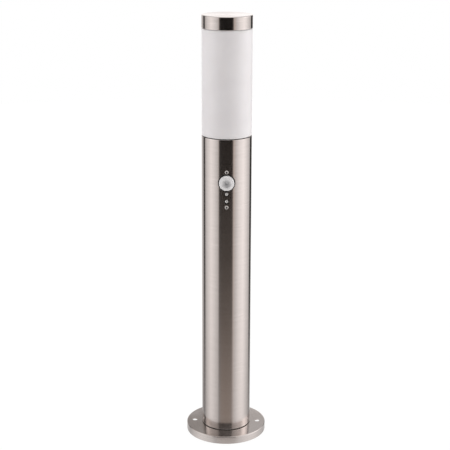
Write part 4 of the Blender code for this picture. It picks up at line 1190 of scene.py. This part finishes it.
def makeBulbCap():
    look = bulbLook
    low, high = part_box("bulb_shell")
    radius = high.x
    wall = look["shell wall"]
    step = threadLook["rise"]
    outside = [(0, low.z), (radius - 0.0016, low.z), (radius - 0.0010, low.z + 0.0003)]
    outside += ladder(radius, low.z + 0.0012, high.z, step)
    inside = ladder(radius - wall, low.z + 0.0014, high.z, step)[::-1]
    inside += [(radius - 0.0019, low.z + wall), (0, low.z + wall)]
    points = [Vector(point) for point in outside + inside]
    wound = windThread(points, low.z + 0.0013, high.z - 0.0045, threadLook["cap depth"])
    mesh = smooth(lathe("threadedCap", points, 96, False, wound), 60)
    nickel = turnedMetal("capNickel", metalLook["nickel"])
    addPiece("threadedCap", mesh, "lamp", "zinc_steel", nickel, "bulb_shell")

    low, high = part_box("bulb_insulator")
    foot = innerFoot("bulb_insulator")
    corners = [(0, high.z, 0), (high.x, high.z, 0.0004), (foot, low.z, 0.0006), (0, low.z, 0)]
    mesh = turned("bulbInsulator", corners, 4, 72, False)
    glass = mouldedPlastic("insulatorGlass", plasticLook["sleeve"])
    addPiece("bulbInsulator", mesh, "lamp", "black_plastic", glass, "bulb_insulator")

    low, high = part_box("bulb_tip")
    corners = [(0, high.z, 0), (high.x, high.z, 0.0003), (high.x, low.z + 0.0010, 0.0006)]
    corners += [(high.x * 0.62, low.z, 0.0008), (0, low.z, 0)]
    mesh = turned("bulbTip", corners, 4, 48, False)
    addPiece("bulbTip", mesh, "lamp_contact", "zinc_steel", nickel, "bulb_tip")


def innerFoot(node):  # radius of a turned node at its lower end
    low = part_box(node)[0].z
    spots = [vertex.co for vertex in nodes[node].data.vertices if vertex.co.z < low + 0.0001]
    return max(Vector(spot[:2]).length for spot in spots)


def makeBulbBody(finish):
    look = bulbLook
    low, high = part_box("bulb_body")
    wide = high.x
    neck = innerFoot("bulb_body")
    rise = high.z - low.z
    steps = 26
    curve = []
    for number in range(steps + 1):
        share = number / steps
        radius = neck + (wide - neck) * math.sin(share * math.pi / 2) ** look["flare"]
        curve.append((radius, low.z + rise * share))
    wall = look["body wall"]
    inside = [(radius - wall, height) for radius, height in curve if height > low.z + wall]
    outline = [(0, low.z + wall), (neck - wall, low.z + wall)] + inside + curve[::-1] + [(0, low.z)]
    points = [Vector(point) for point in outline]
    firstOuter = 2 + len(inside)

    def finned(number, angle):
        share = (points[number][1] - low.z) / rise
        outer = number >= firstOuter and points[number][0] > 0.001
        band = max(0, math.sin(math.pi * min(1, share * 1.15))) if outer and share < 0.87 else 0
        return 1 - look["fin depth"] * band * (0.5 + 0.5 * math.cos(angle * look["fins"])) ** 3

    mesh = smooth(lathe("bulbBody", points, 224, False, finned))
    addPiece("bulbBody", mesh, "lamp", "white_plastic", finish, "bulb_body")


def makeBulbGlobe():
    low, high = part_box("bulb_globe")
    radius = high.x
    rise = high.z - low.z
    wall = bulbLook["dome wall"]
    steps = 24
    angles = [math.pi / 2 * number / steps for number in range(steps + 1)]
    outside = [(radius * math.sin(angle), low.z + rise * math.cos(angle)) for angle in angles]
    bore, ceiling = radius - wall, rise - wall
    inside = [(bore * math.sin(angle), low.z + ceiling * math.cos(angle)) for angle in angles]
    outside[0] = (0, high.z)
    inside[0] = (0, high.z - wall)
    points = [Vector(point) for point in outside + inside[::-1]]
    mesh = smooth(lathe("bulbGlobe", points, 120, False))
    finish = opalPlastic("globeOpal", (), roughness=0.26)
    addPiece("bulbGlobe", mesh, "lamp", "opal_plastic", finish, "bulb_globe")


makeCamera()
makeStudio()
makeFloor()
makeCard()
print("camera, studio and floor")

blackRubber = rubber("blackRubber", rubberLook["black"])
whiteRubber = rubber("whiteRubber", rubberLook["white"])
blackPlastic = mouldedPlastic("blackPlastic", plasticLook["black"])
whitePlastic = mouldedPlastic("whitePlastic", plasticLook["white"])
bluePlastic = mouldedPlastic("bluePlastic", plasticLook["blue"])
opalShade = opalPlastic("opalShade", (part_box("head_seal")[1].z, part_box("cap_seal")[0].z))

makeBase()
makeTube()
makeFootSeal(rubber("dustyRubber", rubberLook["dusty"]))
print("base and tube")
makeSeal("head_seal", "headSeal", "black_rubber", blackRubber)
makeSeal("neck_ring", "neckRing", "black_rubber", blackRubber, 0.0006)
makeSeal("cap_seal", "capSeal", "white_rubber", whiteRubber)
makeDiffuser(opalShade)
makeCap()
print("head")
makeLens()
makeCollar(blackPlastic)
makeSensorScrew("upper")
makeSensorScrew("lower")
makeKnob("lux_knob", "luxKnob", "lux_adjuster", 60)
makeKnob("time_knob", "timeKnob", "time_adjuster", 110)
finishNode(blackPlastic, "sensor_housing", "sensor_cover")
finishNode(circuitBoard("boardLaminate"), "sensor_board")
finishNode(turnedMetal("detectorSteel", metalLook["nickel"], (0, 0, middleHeight("pir_detector")), "Y"),
           "pir_detector")
finishNode(bluePlastic, "relay", "lux_trimmer", "time_trimmer")
finishNode(mouldedPlastic("capacitorSleeve", plasticLook["sleeve"]), "capacitor")
print("sensor")

zincSteel = turnedMetal("zincSteel", metalLook["zinc"])
brass = turnedMetal("brassMetal", metalLook["brass"])
finishNode(whitePlastic, "terminal_block")
finishNode(blackPlastic, "cord_clamp", "lamp_live_wire")
finishNode(bluePlastic, "neutral_wire", "lamp_neutral_wire")
finishNode(mouldedPlastic("brownSleeve", plasticLook["brown"]), "live_wire")
finishNode(earthSleeve("earthStripes"), "earth_wire")
finishNode(zincSteel, "terminal_bracket", "earth_lug")
finishNode(brass, "lampholder_contact", *[f"terminal_screw_{number}" for number in range(1, 7)])
makeDish("foot_bracket", "footBracket", zincSteel, footHoles())
makeDish("holder_plate", "holderPlate", zincSteel, holderHoles())
makeGrommet(blackRubber)
for node, name, way, shank, head in screwTable:
    slotName, finish = ("brass", brass) if node == "earth_screw" else ("zinc_steel", zincSteel)
    makeScrew(node, name, way, shank, head, slotName, finish)
print("foot and wiring")

makeHolder(whitePlastic)
makeSleeve(brass)
makeBulbCap()
makeBulbBody(whitePlastic)
makeBulbGlobe()
finishNode(mouldedPlastic("boardPaint", plasticLook["white"]), "bulb_board")
print("lamp")
